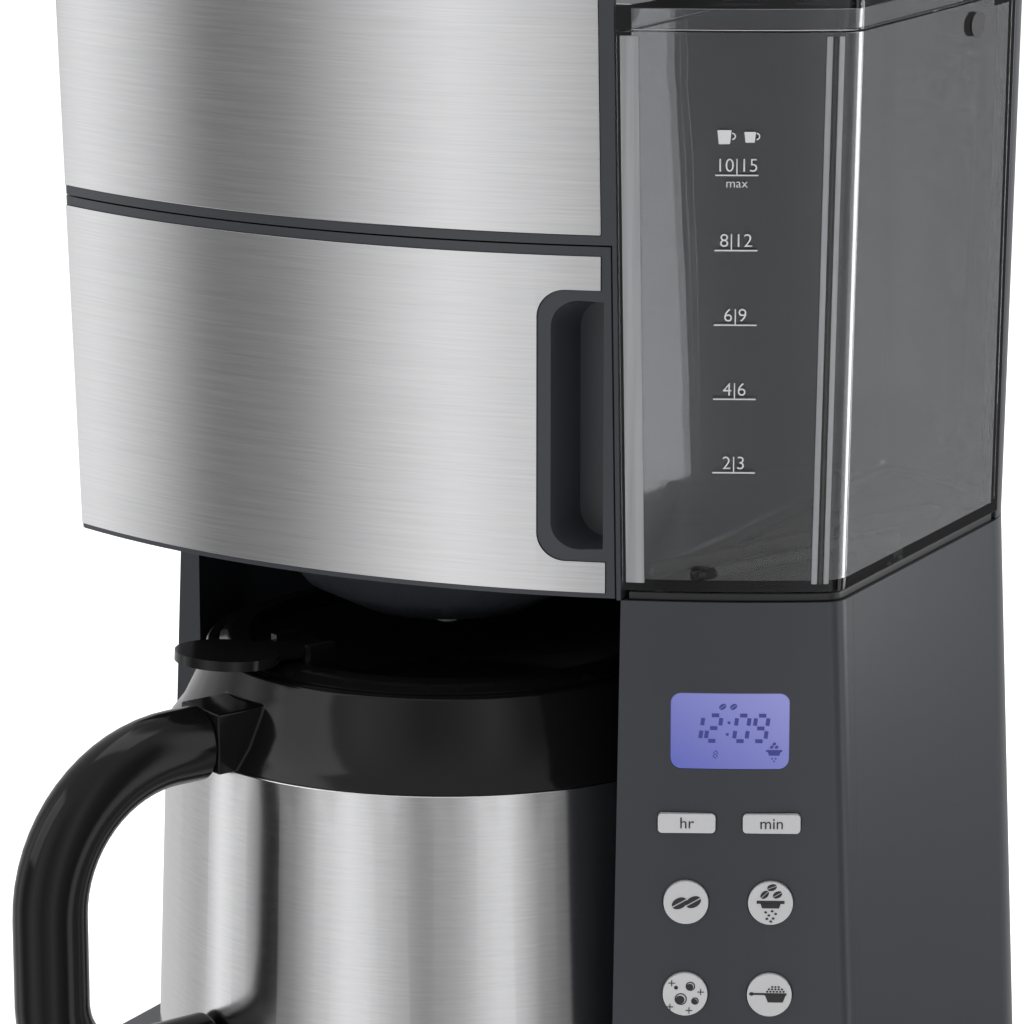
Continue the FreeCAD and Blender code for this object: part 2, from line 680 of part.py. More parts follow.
def make_frame():
    low, high = S.waist, S.deck
    shell = cut("housing_shell", housing_block("housing_form", low, high),
                housing_block("housing_hollow", low, high, S.wall))
    left, split = upper(S.waist)[:2]
    left_up, split_up = upper(frame_split())[:2]
    door_space = loft("door_space", door_space_plan(left, split), low,
                      door_space_plan(left_up, split_up), frame_split())
    barrel_space = cylinder("barrel_space", S.barrel_space, low - 1, frame_split(), -S.hinge_x, -S.hinge_y)
    cup_space = pocket_block("cup_space", S.gap, S.pocket_low - 4, S.pocket_high + 4)
    rear_space = block("rear_space", (-S.left_deck - 20, S.tank_seam_y, low - 1),
                       (S.split_waist + 20, S.rear_deck + 20, high + 1))
    skin_space = skin_block("skin_space", frame_split() + S.rail - 0.1, S.upper_skin_top + 0.1, 0.1,
                            S.skin_proud + 1)
    frame = cut("frame_walls", shell, door_space, barrel_space, cup_space, rear_space, skin_space)
    lug = common("hinge_lug_form", cylinder("lug_round", 7.0, S.waist + 4, S.waist + 8.4, -S.hinge_x, -S.hinge_y),
                 housing_block("lug_limit", S.waist + 2, S.waist + 12, 1.2))
    arm = block("lug_arm", (-S.hinge_x + 1, -S.hinge_y, S.waist + 4),
                (-S.hinge_x + 6, -S.hinge_y + 24, S.waist + 8.4))
    foot = block("lug_foot", (-S.left_waist + 1.0, -S.hinge_y + 14, S.waist + 4),
                 (-S.hinge_x + 6, -S.hinge_y + 24, S.waist + 8.4))
    boss = common("hinge_boss_form", cylinder("boss_round", 6.5, frame_split(), frame_split() + 8,
                                              -S.hinge_x, -S.hinge_y),
                  housing_block("boss_limit", frame_split(), frame_split() + 12, 1.2))
    boss_shelf = common("boss_shelf_form", block("boss_shelf", (-S.left_deck, -S.hinge_y - 10, frame_split()),
                                                 (-S.hinge_x + 12, -S.hinge_y + 20, frame_split() + 2.4)),
                        housing_block("shelf_limit", frame_split(), frame_split() + 12, 1.2))
    hole = S.hinge_pin + S.press
    bores = [cylinder("boss_bore", hole, frame_split() - 1, frame_split() + 6, -S.hinge_x, -S.hinge_y),
             cylinder("lug_bore", hole, S.waist + 3, S.waist + 10, -S.hinge_x, -S.hinge_y)]
    part("upper_frame", cut("upper_frame", fuse("frame_joined", frame, lug, arm, foot, boss, boss_shelf), *bores))
    pins = [cylinder("pin_high", S.hinge_pin, S.door_top - 8, frame_split() + 5.5, -S.hinge_x, -S.hinge_y),
            cylinder("pin_low", S.hinge_pin, S.waist + 4, S.waist + 18, -S.hinge_x, -S.hinge_y)]
    part("hinge_pins", group("hinge_pins", *pins))


def skin_block(name, low, high, grow, proud):
    """The curved sheet of a steel panel between two levels, not yet trimmed at its sides."""
    left, split = upper(low)[:2]
    left_up, split_up = upper(high)[:2]
    margin, right = S.skin_margin - grow, S.skin_right - grow
    face = pad(name + "_face", [
        (-left + margin, low), (split - right, low), (split_up - right, high), (-left_up + margin, high)],
        -front_y(0.0) - 40, -front_y(0.0) + 12, role="XZ_Plane")
    return common(name, arc_shell(name + "_arc", proud, S.skin - S.skin_proud + grow * 2, low, high), face)


def make_rear_cover():
    low, high = S.waist, S.deck
    shell = cut("cover_shell", full_block("cover_outer", low, high), full_block("cover_inner", low, high, S.wall))
    front = block("cover_front", (-S.left_deck - 20, -S.front_reach - 20, low - 1),
                  (S.right_deck + 20, S.tank_seam_y, high + 1))
    part("rear_cover", cut("rear_cover", shell, front))


def make_deck():
    low, high = S.deck, S.deck + 3
    left, split, _, rear = upper(S.deck)
    plate = pad("deck_form", housing_plan(left, split, rear), low, high)
    hole = cylinder("deck_hole", S.dial_tube + S.fit, low - 1, high + 1, S.burr_x, S.burr_y)
    part("top_deck", cut("top_deck", plate, hole))


def make_skins():
    part("steel_panel_upper", skin_block("steel_panel_upper", frame_split() + S.rail, S.upper_skin_top, 0.0,
                                         S.skin_proud))


# ---------------------------------------------------------------- filter door

def make_door():
    low, high = S.waist + S.seam, S.door_top
    left, split = upper(low)[:2]
    left_up, split_up = upper(high)[:2]
    plate = loft("door_plate", door_plan(left, split), low, door_plan(left_up, split_up), high)
    barrel = common("barrel_trimmed", cylinder("barrel", S.barrel, low, high, -S.hinge_x, -S.hinge_y),
                    housing_block("barrel_limit", low, high))
    cup = pocket_block("cup", 0.0, S.pocket_low - S.pocket_wall, S.pocket_high + S.pocket_wall)
    cup = common("cup_trimmed", cup, housing_block("cup_limit", low, high))
    ribs = [block("rib%d" % i, (x, front_y(0.0) + 2.0, S.waist + 12), (x + 2.4, -S.holder_radius + 9, S.waist + 70))
            for i, x in enumerate((-20.0, 18.0))]
    plate = fuse("door_joined", plate, barrel, cup, *ribs)
    pocket = pocket_tool()
    holder_space = turned("holder_space", holder_outside(S.fit) + [(0.0, S.holder_top), (0.0, S.bowl_low)])
    lug_space = cylinder("lug_space", S.barrel_space, S.waist + 3.6, S.waist + 8.8, -S.hinge_x, -S.hinge_y)
    pin_bores = [cylinder("door_bore_high", S.hinge_pin + S.fit, S.door_top - 8.4, S.door_top + 1,
                          -S.hinge_x, -S.hinge_y),
                 cylinder("door_bore_low", S.hinge_pin + S.fit, S.waist, S.waist + 18.4, -S.hinge_x, -S.hinge_y)]
    skin_space = door_skin("door_skin_space", 0.1, S.skin_proud + 1)
    part("door_shell", cut("door_shell", plate, pocket, holder_space, lug_space, *(pin_bores + [skin_space])))
    part("door_panel", door_skin("door_panel", 0.0, S.skin_proud))


def pocket_tool():
    """The finger recess: its mouth is wider than its floor."""
    split = upper(S.pocket_high)[1]
    right = split - S.door_strip - S.gap - 0.8
    floor_y = front_y(S.pocket_left) + S.pocket_depth
    mouth_y = front_y(0.0) - 4

    def ring(inset):
        x0, x1 = S.pocket_left + inset, right - inset * 0.2
        z0, z1, corner = S.pocket_low + inset, S.pocket_high - inset, S.pocket_corner
        return [(x0 + corner, z0), (x1, z0), (x1, z1), (x0 + corner, z1, corner, 1), (x0, z1 - corner),
                (x0, z0 + corner, corner, 1)]

    body = new_body("pocket_tool")
    floor = outline(body, "pocket_floor", ring(S.pocket_wall * 2), role="XZ_Plane", level=-floor_y)
    mouth = outline(body, "pocket_mouth", ring(0.0), role="XZ_Plane", level=-mouth_y)
    feature = body.newObject("PartDesign::AdditiveLoft", "pocket_loft")
    feature.Profile = floor
    feature.Sections = [mouth]
    feature.Ruled = True
    return body


def door_skin(name, grow, proud):
    """The door's steel sheet, notched around the finger recess."""
    low, high = S.waist + S.skin_edge, S.door_top - S.rail
    left, split = upper(low)[:2]
    left_up, split_up = upper(high)[:2]
    margin, right, corner = S.skin_margin - grow, S.skin_right - grow, S.pocket_corner
    notch, notch_low, notch_high = S.pocket_left - 1.6 + grow, S.pocket_low - 1 + grow, S.pocket_high + 0.6 - grow
    face = pad(name + "_face", [
        (-left + margin, low - grow), (split - right, low - grow), (split - right, notch_low),
        (notch + corner, notch_low, corner, -1), (notch, notch_low + corner),
        (notch, notch_high - corner, corner, -1), (notch + corner, notch_high),
        (split_up - right, notch_high), (split_up - right, high + grow), (-left_up + margin, high + grow)],
        -front_y(0.0) - 40, -front_y(0.0) + 12, role="XZ_Plane")
    return common(name, arc_shell(name + "_arc", proud, S.skin - S.skin_proud + grow * 2, low - 1, high + 1), face)


def bowl_radius():
    return S.holder_radius - S.bowl_step


def holder_outside(grow=0.0):
    """The basket's outside, from its middle at the bottom up to its rim."""
    low, bowl = S.bowl_low, bowl_radius() + grow
    return [(4.0, low), (12.0, low), (bowl - 22, low + 2), (bowl - 8, low + 9), (bowl, S.waist - 1),
            (S.holder_radius - S.holder_taper + grow, S.waist + 11), (S.holder_radius + grow, S.holder_top)]


def make_filter():
    wall, bowl, neck = S.bowl_wall, bowl_radius(), S.holder_radius - S.holder_taper
    inside = [(S.holder_radius - wall, S.holder_top), (neck - wall, S.waist + 11.4),
              (bowl - wall, S.waist - 0.4), (bowl - 9, S.bowl_low + 11), (bowl - 22.6, S.bowl_low + 4),
              (12.0, S.bowl_low + wall), (4.0, S.bowl_low + wall)]
    basket = turned("basket_form", holder_outside() + inside)
    seat = S.bowl_low + 16
    bar = cut("seat_bar", block("bar_form", (4.5 - bowl, -4.0, seat), (bowl - 4.5, 4.0, seat + 2)),
              cylinder("bar_bore", S.valve_radius + S.sliding, seat - 1, seat + 3))
    ledge = turned("filter_ledge", [(neck - 3.5, S.filter_floor - 4), (neck - 0.4, S.filter_floor - 4),
                                    (neck - 0.4, S.filter_floor - 2), (neck - 3.5, S.filter_floor - 2)])
    part("filter_holder", fuse("filter_holder", basket, bar, ledge))
    flange = cylinder("valve_flange", 7.0, S.bowl_low + 6, S.bowl_low + 8)
    stem = cylinder("valve_stem", S.valve_radius, S.valve_tip, S.bowl_low + 14)
    part("drip_valve", fuse("drip_valve", flange, stem))
    spring("valve_spring", 4.8, S.spring_wire, S.bowl_low + 8.9, seat - 0.9)
    floor, top, skin = S.filter_floor, S.holder_top - 2, S.filter_wall
    rim = S.holder_radius - S.filter_play
    foot = rim - S.filter_taper
    part("permanent_filter", turned("permanent_filter", [
        (0.0, floor), (foot, floor), (rim, top), (rim - skin, top),
        (foot - skin, floor + skin), (0.0, floor + skin)]))


def spring(name, radius, wire, low, high):
    helix = bind(doc.addObject("Part::Helix", name + "_path"), Radius=radius, Height=high - low)
    helix.Pitch = (number(high) - number(low)) / 3.0
    put(helix, 0.0, 0.0, low)
    ring = bind(doc.addObject("Part::Circle", name + "_wire"), Radius=wire / 2)
    ring.Placement = Placement(Vector(radius, 0, number(low)), Rotation(Vector(1, 0, 0), 90))
    sweep = doc.addObject("Part::Sweep", name)
    sweep.Sections = [ring]
    sweep.Spine = (helix, ["Edge1"])
    sweep.Solid = True
    sweep.Frenet = True
    part(name, sweep)


# ---------------------------------------------------------------- grinder and brew works

def motor_y():
    """The motor stands one gear spacing away from the burr axis."""
    spacing = S.gear_module * 25
    across = S.motor_x - S.burr_x
    return S.burr_y + root(spacing * spacing - across * across)


def gear(name, teeth, low, high, bore, turn):
    """A spur gear with straight-sided teeth, centred on the Z axis."""
    pitch_radius = S.gear_module * teeth / 2
    foot, tip = pitch_radius - S.gear_module * 1.15, pitch_radius + S.gear_module * 0.8
    body = new_body(name + "_form")
    disc = outline(body, name + "_disc", [
        (foot, 0.0, foot, 1), (foot * -0.5, foot * math.sqrt(0.75), foot, 1),
        (foot * -0.5, foot * -math.sqrt(0.75), foot, 1)], level=low)
    base = body.newObject("PartDesign::Pad", name + "_disc_pad")
    base.Profile = disc
    bind(base, Length=high - low)
    wide, narrow = S.gear_module * 0.8, S.gear_module * 0.36
    shape = outline(body, name + "_tooth", [
        (foot - 0.5, -wide), (tip, -narrow), (tip, narrow), (foot - 0.5, wide)], level=low)
    tooth = body.newObject("PartDesign::Pad", name + "_tooth_pad")
    tooth.Profile = shape
    bind(tooth, Length=high - low)
    row = body.newObject("PartDesign::PolarPattern", name + "_teeth")
    row.Originals = [tooth]
    row.Axis = (disc, ["N_Axis"])
    row.Angle = 360.0
    row.Occurrences = teeth
    body.Tip = row
    whole = cut(name, body, cylinder(name + "_bore", bore, low - 1, high + 1))
    return whole, Rotation(Vector(0, 0, 1), turn)


def make_grinder():
    level, thick = S.plate_level, S.plate_thick
    gx, gy, mx, my = S.burr_x, S.burr_y, S.motor_x, motor_y()
    shaft = S.shaft_radius
    plate = block("plate_form", (-60.0, 6.0, level), (60.0, 100.0, level + thick))
    plate_holes = [cylinder("plate_shaft_hole", shaft + S.fit, level - 1, level + 4, gx, gy),
                   cylinder("plate_motor_hole", 3.0, level - 1, level + 4, mx, my)]
    part("grinder_plate", cut("grinder_plate", plate, *plate_holes))
    part("grinder_motor", cut("grinder_motor", cylinder("motor_can", S.motor_radius, S.motor_low, level - 0.2, mx, my),
                              cylinder("motor_bore", 2.5 + S.fit, level - 8, level, mx, my)))
    aim = math.degrees(math.atan2((my - gy).value, (mx - gx).value))
    low, high = level + 5, level + 5 + S.gear_thick
    wheel, turn = gear("reduction_gear", 40, low, high, shaft + 0.02, aim)
    part("reduction_gear", put(wheel, gx, gy, 0.0, turn=turn))
    pinion, turn = gear("motor_pinion", 10, low, high, 2.4, aim + 180 + 18)
    spindle = cylinder("pinion_spindle", 2.5, level - 7, high + 1)
    part("motor_pinion", put(fuse("motor_pinion", pinion, spindle), mx, my, 0.0, turn=turn))
    part("burr_shaft", cylinder("burr_shaft", shaft, level - 4, S.chamber_low + 38, gx, gy))
    top = S.chamber_low + 52
    part("lower_burr", turned("lower_burr", [
        (shaft + 0.02, top - 34), (13.0, top - 34), (17.0, top - 14), (8.0, top), (0.0, top),
        (0.0, top - 13.8), (shaft + 0.02, top - 13.8)], gx, gy))
    chamber = turned("chamber_form", [
        (shaft + S.fit, S.chamber_low), (41.0, S.chamber_low), (41.0, S.chamber_low + 2.5),
        (S.chamber_radius, S.chamber_low + 2.5), (S.chamber_radius, top), (S.chamber_radius - 2.5, top),
        (S.chamber_radius - 2.5, S.chamber_low + 2.5), (shaft + S.fit, S.chamber_low + 2.5)], gx, gy)
    flat = block("chamber_flat", (-60.0, -20.0, S.chamber_low - 1), (60.0, gy - 22, S.chamber_low + 3))
    inner_keep = cylinder("chamber_keep", S.chamber_radius, S.chamber_low - 2, top, gx, gy)
    ahead, end = chute_line()
    chamber = cut("chamber_open", chamber, cut("chamber_trim", flat, inner_keep),
                  rod("chamber_port", S.chute_radius - 1.4, ahead, end))
    posts = [cylinder("chamber_post%d" % i, 2.5, level + thick, S.chamber_low + 0.5,
                      gx + 38 * math.cos(math.radians(a)), gy + 38 * math.sin(math.radians(a)))
             for i, a in enumerate((150, 205, 0))]
    part("grinder_chamber", fuse("grinder_chamber", chamber, *posts))
    tube = cut("chute_tube", rod("chute_outer", S.chute_radius, ahead, end),
               chute_clear("chute_inner", S.chute_radius - 1.4),
               cylinder("chute_trim", S.chamber_radius + 0.2, S.chamber_low - 3, top + 3, gx, gy))
    part("ground_chute", tube)


def chute_line(extra=0.0):
    """Both ends of the ground chute's axis, made longer by a share of its length."""
    top, end = (S.burr_y - 24, S.chamber_low + 48), (-10.5, S.ceiling + 1.5)
    rise = [high - low for high, low in zip(top, end)]
    return [(S.burr_x, *[point + way * step for point, step in zip(spot, rise)])
            for spot, way in ((top, extra), (end, -extra))]


def chute_clear(name, radius):
    """The space along the ground chute's axis, past both its ends."""
    return rod(name, radius, *chute_line(0.2))


def make_brew_works():
    low, high = S.ceiling, S.ceiling + S.ceiling_thick
    slab = common("ceiling_form", housing_block("ceiling_limit", low, high, S.wall + 0.1),
                  block("ceiling_slab", (-69.0, -80.0, low), (80.0, 55.0, high)))
    front = block("ceiling_front", (-100.0, -90.0, low - 1), (100.0, -S.front_reach + 18, high + 1))
    hole = cylinder("ceiling_pipe_hole", S.tube_radius + S.sliding, low - 1, high + 1,
                    S.feed_x, S.feed_y)
    part("brew_ceiling", cut("brew_ceiling", slab, front, hole, chute_clear("ceiling_chute_hole",
                                                                           S.chute_radius + S.sliding)))
    head = cylinder("shower_form", S.shower_radius, low - 4.1, low - 0.2)
    holes = [cylinder("shower_hole%d" % i, 1.2, low - 5, low, 22 * math.cos(math.radians(45 * i)),
                      22 * math.sin(math.radians(45 * i))) for i in range(8) if i != 6]
    inlet = cylinder("shower_inlet", S.tube_radius, low - 0.3, low + 6, S.feed_x, S.feed_y)
    inlet_bore = cylinder("shower_bore", S.tube_radius - 1.2, low - 2, low + 7, S.feed_x, S.feed_y)
    part("shower_head", cut("shower_head", fuse("shower_joined", head, inlet), inlet_bore,
                            chute_clear("shower_chute_hole", S.chute_radius + 0.6), *holes))
    over = low + 6.2
    reach = (S.heater_radius + S.heater_width / 2 + S.gap) / root(S.riser_x * S.riser_x + S.riser_y * S.riser_y)
    points = [(S.riser_x * reach, S.riser_y * reach, S.hose_level), (S.riser_x, S.riser_y, S.hose_level),
              (S.riser_x, S.riser_y, over + 6), (S.feed_x, S.feed_y, over + 6), (S.feed_x, S.feed_y, over)]
    part("riser_tube", pipe("riser_tube", S.tube_radius - 0.6, points))
    ring = cut("heater_ring",
               cylinder("heater_outer", S.heater_radius + S.heater_width / 2, 8.0, 8.0 + S.heater_height),
               cylinder("heater_inner", S.heater_radius - S.heater_width / 2, 7.0, 9.0 + S.heater_height),
               block("heater_half", (-80.0, -80.0, 7.0), (80.0, 0.0, 10.0 + S.heater_height)))
    legs = [cylinder("heater_leg%d" % i, 4.0, S.foot_height + S.wall, 9.0, x, y)
            for i, (x, y) in enumerate(((-50.0, 5.0), (50.0, 5.0), (0.0, 50.0)))]
    part("flow_heater", fuse("flow_heater", ring, *legs))
    hose_top = S.waist - 14.4
    end = S.heater_radius + S.heater_width / 2 + 1.6
    path = [(S.tank_valve_x, S.tank_valve_y, hose_top), (S.tank_valve_x, S.tank_valve_y, S.hose_level),
            (end, 8.0, S.hose_level)]
    part("inlet_hose", pipe("inlet_hose", S.tube_radius - 0.6, path))


# ---------------------------------------------------------------- hopper and grind dial

def make_hopper():
    gx, gy, low = S.burr_x, S.burr_y, S.deck + 3.4
    rim, web, tube = low + S.dial_height, low + 1.6, S.dial_tube
    burr_top = S.chamber_low + 55
    part("grind_dial", turned("grind_dial", [
        (tube - 2, burr_top), (tube, burr_top), (tube, low), (S.dial_radius, low), (S.dial_radius, rim),
        (S.dial_radius - 7, rim), (S.dial_radius - 7, web), (tube - 2, web)], gx, gy))
    wall = S.hopper_wall
    floor, crown = web + 0.2, low + S.hopper_height
    part("hopper", turned("hopper", [
        (tube - 2, floor), (S.hopper_neck, floor), (S.hopper_neck, rim + 2), (S.hopper_radius, crown),
        (S.hopper_radius - wall, crown), (S.hopper_neck - wall, rim + 3),
        (S.hopper_neck - wall, floor + 10), (tube - 2, floor + wall)], gx, gy))
    part("upper_burr", turned("upper_burr", [
        (17.8, burr_top - 0.2), (S.chamber_radius - 5, burr_top - 0.2), (S.chamber_radius - 5, burr_top - 15),
        (20.0, burr_top - 15), (20.0, burr_top - 9)], gx, gy))
    top, knob = crown + S.gap, crown + S.knob_height
    part("hopper_lid", turned("hopper_lid", [
        (0.0, top), (S.hopper_radius - wall - 5, top), (S.hopper_radius - wall - 5, top - 4),
        (S.hopper_radius - wall - 3, top - 4), (S.hopper_radius - wall - 3, top), (S.hopper_radius + 1, top),
        (S.hopper_radius + 1, top + 3), (13.0, top + 4.6), (11.0, top + 8), (15.0, knob - 2),
        (13.0, knob), (0.0, knob)], gx, gy))


# ---------------------------------------------------------------- water tank

def make_tank():
    low, high, wall = S.tank_floor, S.tank_top, S.tank_wall
    outer = tank_block("tank_outer", low, high)
    inner = tank_block("tank_inner", low + wall, high + 1, wall)
    hinge_y, hinge_z, left, right = S.tank_seam_y - 7, high + 4, upper(high)[1], upper(high)[2]
    cap = common("tank_cap", tank_block("tank_cap_limit", high - wall, high, 0.1),
                 block("cap_slab", (left, hinge_y - 6, high - wall), (right + 5, S.rear_deck, high)))
    stub = cylinder("stub_outer", S.tank_valve_radius, low - 2.3, low + 1, S.tank_valve_x, S.tank_valve_y)
    bore = cylinder("stub_bore", 3.6, low - 6, low + 4, S.tank_valve_x, S.tank_valve_y)
    ears = []
    for index, x in enumerate((left + 3.4, right - 9.4)):
        ears.append(block("ear%d" % index, (x, hinge_y - S.ear_half, high - 0.5),
                          (x + 3, hinge_y + S.ear_half, hinge_z + S.ear_half)))
    pin = rod("lid_pin", 1.6, (left + 4, hinge_y, hinge_z), (right - 7, hinge_y, hinge_z))
    part("water_tank", cut("water_tank", fuse("tank_joined", cut("tank_shell", outer, inner), cap, stub, *ears),
                           bore, rod("ear_bore", 1.6, (left + 2, hinge_y, hinge_z), (right, hinge_y, hinge_z))))
    part("lid_pin", pin)
    lid_low, lid_high = high + 0.4, high + S.tank_lid_height
    lid = tank_block("lid_outer", lid_low, lid_high)
    hollow = tank_block("lid_hollow", lid_low - 1, lid_high - wall, wall)
    back = block("lid_back", (left - 10, hinge_y - 4, lid_low - 2), (right + 20, S.rear_deck + 10, lid_high + 2))
    skirt = block("lid_skirt", (left + 4, hinge_y - 6.6, lid_low), (right - 4, hinge_y - 4, lid_high))
    barrel = rod("lid_barrel", 3.2, (left + 7, hinge_y, hinge_z), (right - 10, hinge_y, hinge_z))
    web = block("lid_web", (left + 7, hinge_y - 5, hinge_z - 1), (right - 10, hinge_y, hinge_z + 3.2))
    whole = fuse("lid_joined", cut("lid_shell", lid, hollow, back), skirt, barrel, web)
    part("tank_lid", cut("tank_lid", whole, rod("lid_bore", 1.6 + S.fit, (left, hinge_y, hinge_z),
                                                (right, hinge_y, hinge_z))))


# ---------------------------------------------------------------- vacuum jug

def jug_turn():
    return Rotation(Vector(0, 0, 1), number(S.handle_angle))


def make_jug():
    foot, body, top, steel = S.base_top + S.gap, S.jug_base_radius, S.jug_steel_top, S.jug_steel
    shoulder = body - S.jug_taper
    part("jug_shell", turned("jug_shell", [
        (0.0, foot), (body - 4, foot), (body, foot + 4.6), (shoulder, top), (shoulder - steel, top),
        (body - steel, foot + 5), (body - 4.4, foot + steel), (0.0, foot + steel)]))
    liner, neck = body - S.liner_space, S.neck_radius
    part("jug_liner", turned("jug_liner", [
        (0.0, foot + 5), (liner - 6, foot + 5), (liner, foot + 11), (liner, top - 12), (neck, top + 2),
        (neck, top + 15), (neck - steel, top + 15), (neck - steel, top + 1.7), (liner - steel, top - 12.4),
        (liner - steel, foot + 11.4), (liner - 6.4, foot + 5 + steel), (0.0, foot + 5 + steel)]))
    rim = S.collar_rim
    collar = turned("collar_form", [
        (shoulder, top), (shoulder - 4.2, top + 5.5), (rim + 3, top + 13.5), (rim, S.collar_top),
        (rim - S.rim_width, S.collar_top), (rim - S.rim_width, top + 15.4), (neck + 0.4, top + 15.4),
        (neck + 0.4, top + 4), (shoulder - 2.5, top)])
    half, high, joint = S.handle_thick / 2, S.handle_high, S.handle_joint
    bracket = block("bracket_form", (rim, -S.handle_width / 2, high - half + 2),
                    (joint - 0.2, S.handle_width / 2, high + half))
    bracket = cut("bracket", group("bracket_turned", bracket), cylinder("bracket_clear", neck + 1, top - 9,
                                                                       S.collar_top + 1),
                  cylinder("bracket_steel", shoulder + 0.1, top - 9, top))
    part("jug_collar", fuse("jug_collar", collar, put(bracket, turn=jug_turn())))

    reach, low = S.handle_reach, S.handle_low
    bend, turn = S.handle_bend, S.handle_turn
    bend_x, turn_x = reach - bend, reach - turn
    bend_z, turn_z = high - bend, low + turn
    grip = pad("grip_form", [
        (joint, high - half), (bend_x, high - half, bend - half, -1), (reach - half, bend_z),
        (reach - half, turn_z, turn - half, -1), (turn_x, low + half), (shoulder, low + half),
        (shoulder, low - half), (turn_x, low - half, turn + half, 1), (reach + half, turn_z),
        (reach + half, bend_z, bend + half, 1), (bend_x, high + half), (joint, high + half)],
        -S.handle_width / 2, S.handle_width / 2, role="XZ_Plane")
    grip = cut("jug_handle", grip, turned("grip_clear", [
        (0.0, foot - 2), (body + 0.4, foot - 2), (body + 0.4, foot + 4.6), (shoulder + 0.2, top), (0.0, top)]))
    part("jug_handle", put(grip, turn=jug_turn()))

    ring, spout = S.lid_ring, S.lid_spout
    lid = turned("jug_lid_form", [
        (spout, ring - 9), (20.0, ring - 7), (50.0, ring - 3), (53.0, ring), (57.0, ring),
        (rim - S.rim_width - 0.4, ring - 2), (rim - S.rim_width - 0.4, top + 16.2), (neck - 1.4, top + 16.2),
        (neck - 1.4, top + 8), (50.0, top + 8), (48.0, ring - 11), (20.0, ring - 12.5), (spout, ring - 15)])
    pivot, level, half_lever = S.lever_pivot, S.lever_level, 6.0
    lugs = [block("lever_lug%d" % i, (pivot - 4, y, ring - 5), (pivot + 4, y + 2.4, level + 2.4))
            for i, y in enumerate((-half_lever - 2.8, half_lever + 0.4))]
    lug_bore = rod("lug_pin_bore", 1.2, (pivot, -12.0, level), (pivot, 12.0, level))
    lugs = cut("lugs_bored", fuse("lugs", *lugs), lug_bore)
    slot = block("lever_slot", (pivot - 7, -half_lever - 0.4, ring - 1.0), (61.0, half_lever + 0.4, ring + 3))
    part("jug_lid", fuse("jug_lid", cut("lid_slotted", lid, put(group("slot_turned", slot), turn=jug_turn())),
                         put(lugs, turn=jug_turn())))
    thick = S.lever_thick / 2
    arm = block("lever_arm", (-5.0, -half_lever, -thick), (S.lever_reach - pivot, half_lever, thick))
    disc = cylinder("lever_round", S.lever_disc, -thick, thick, S.lever_reach - pivot, 0.0)
    lever = cut("thumb_lever", fuse("lever_form", arm, disc),
                rod("lever_bore", 1.2 + S.fit, (0.0, -12.0, 0.0), (0.0, 12.0, 0.0)))
    spin = math.radians(S.handle_angle.value)
    lever.Placement = Placement(
        Vector(pivot.value * math.cos(spin), pivot.value * math.sin(spin), level.value),
        jug_turn().multiply(Rotation(Vector(0, -1, 0), S.lever_tilt.value)))
    part("thumb_lever", lever)
    pin = rod("lever_pin_form", 1.2, (pivot, -half_lever - 2.6, level), (pivot, half_lever + 2.6, level))
    part("lever_pin", put(group("lever_pin", pin), turn=jug_turn()))


# ---------------------------------------------------------------- build and write

make_base()
make_tower()
make_tank_seat()
make_frame()
make_rear_cover()
make_deck()
make_skins()
make_door()
make_filter()
make_grinder()
make_brew_works()
make_hopper()
make_tank()
make_jug()
doc.recompute()

bad = [item.Name for item in doc.Objects if {"Invalid", "Error"} & set(item.State)]
bad += [name for name, item in parts.items() if item.Shape.isNull() or not item.Shape.isValid()]
if bad:
    raise RuntimeError("not built: " + ", ".join(bad))

whole = FreeCAD.BoundBox()
for item in parts.values():
    whole.add(item.Shape.BoundBox)
shift = Vector(-whole.Center.x, -whole.Center.y, -whole.ZMin)
os.makedirs("parts", exist_ok=True)
for name, item in parts.items():
    for path, _ in list(item.ExpressionEngine):
        if path.startswith("Placement"):
            item.setExpression(path, None)
    item.Placement = Placement(shift, Rotation()).multiply(item.Placement)
    item.Shape.exportStep("parts/%s.step" % name)
print("shift %.6f %.6f %.6f" % (shift.x, shift.y, shift.z), len(parts))
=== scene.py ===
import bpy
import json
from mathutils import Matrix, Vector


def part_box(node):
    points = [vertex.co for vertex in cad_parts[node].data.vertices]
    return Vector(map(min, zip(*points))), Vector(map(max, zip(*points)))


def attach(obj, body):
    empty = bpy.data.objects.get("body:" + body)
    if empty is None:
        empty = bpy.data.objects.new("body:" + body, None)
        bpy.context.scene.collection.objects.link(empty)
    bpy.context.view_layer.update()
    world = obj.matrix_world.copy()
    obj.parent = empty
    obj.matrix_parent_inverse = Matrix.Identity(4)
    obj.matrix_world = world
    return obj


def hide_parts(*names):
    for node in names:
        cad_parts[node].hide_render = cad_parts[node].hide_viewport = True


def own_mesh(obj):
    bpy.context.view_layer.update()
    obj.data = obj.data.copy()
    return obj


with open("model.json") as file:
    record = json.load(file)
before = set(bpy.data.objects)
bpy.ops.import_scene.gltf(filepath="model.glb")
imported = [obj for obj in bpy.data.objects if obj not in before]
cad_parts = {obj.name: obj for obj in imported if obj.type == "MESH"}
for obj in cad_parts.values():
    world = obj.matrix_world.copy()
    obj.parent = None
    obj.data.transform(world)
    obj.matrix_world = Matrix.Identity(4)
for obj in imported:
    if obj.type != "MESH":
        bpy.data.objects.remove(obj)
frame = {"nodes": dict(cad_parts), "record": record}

"""A drip coffee maker with a grinder: curved steel front, clear water tank, control tower and vacuum jug."""

import json
import logging
import math
from dataclasses import dataclass, field
from enum import Enum
from typing import Any, Sequence

import bpy
from mathutils import Matrix, Vector

logging.basicConfig(level=logging.INFO, format="%(message)s")
log = logging.getLogger("coffee maker")

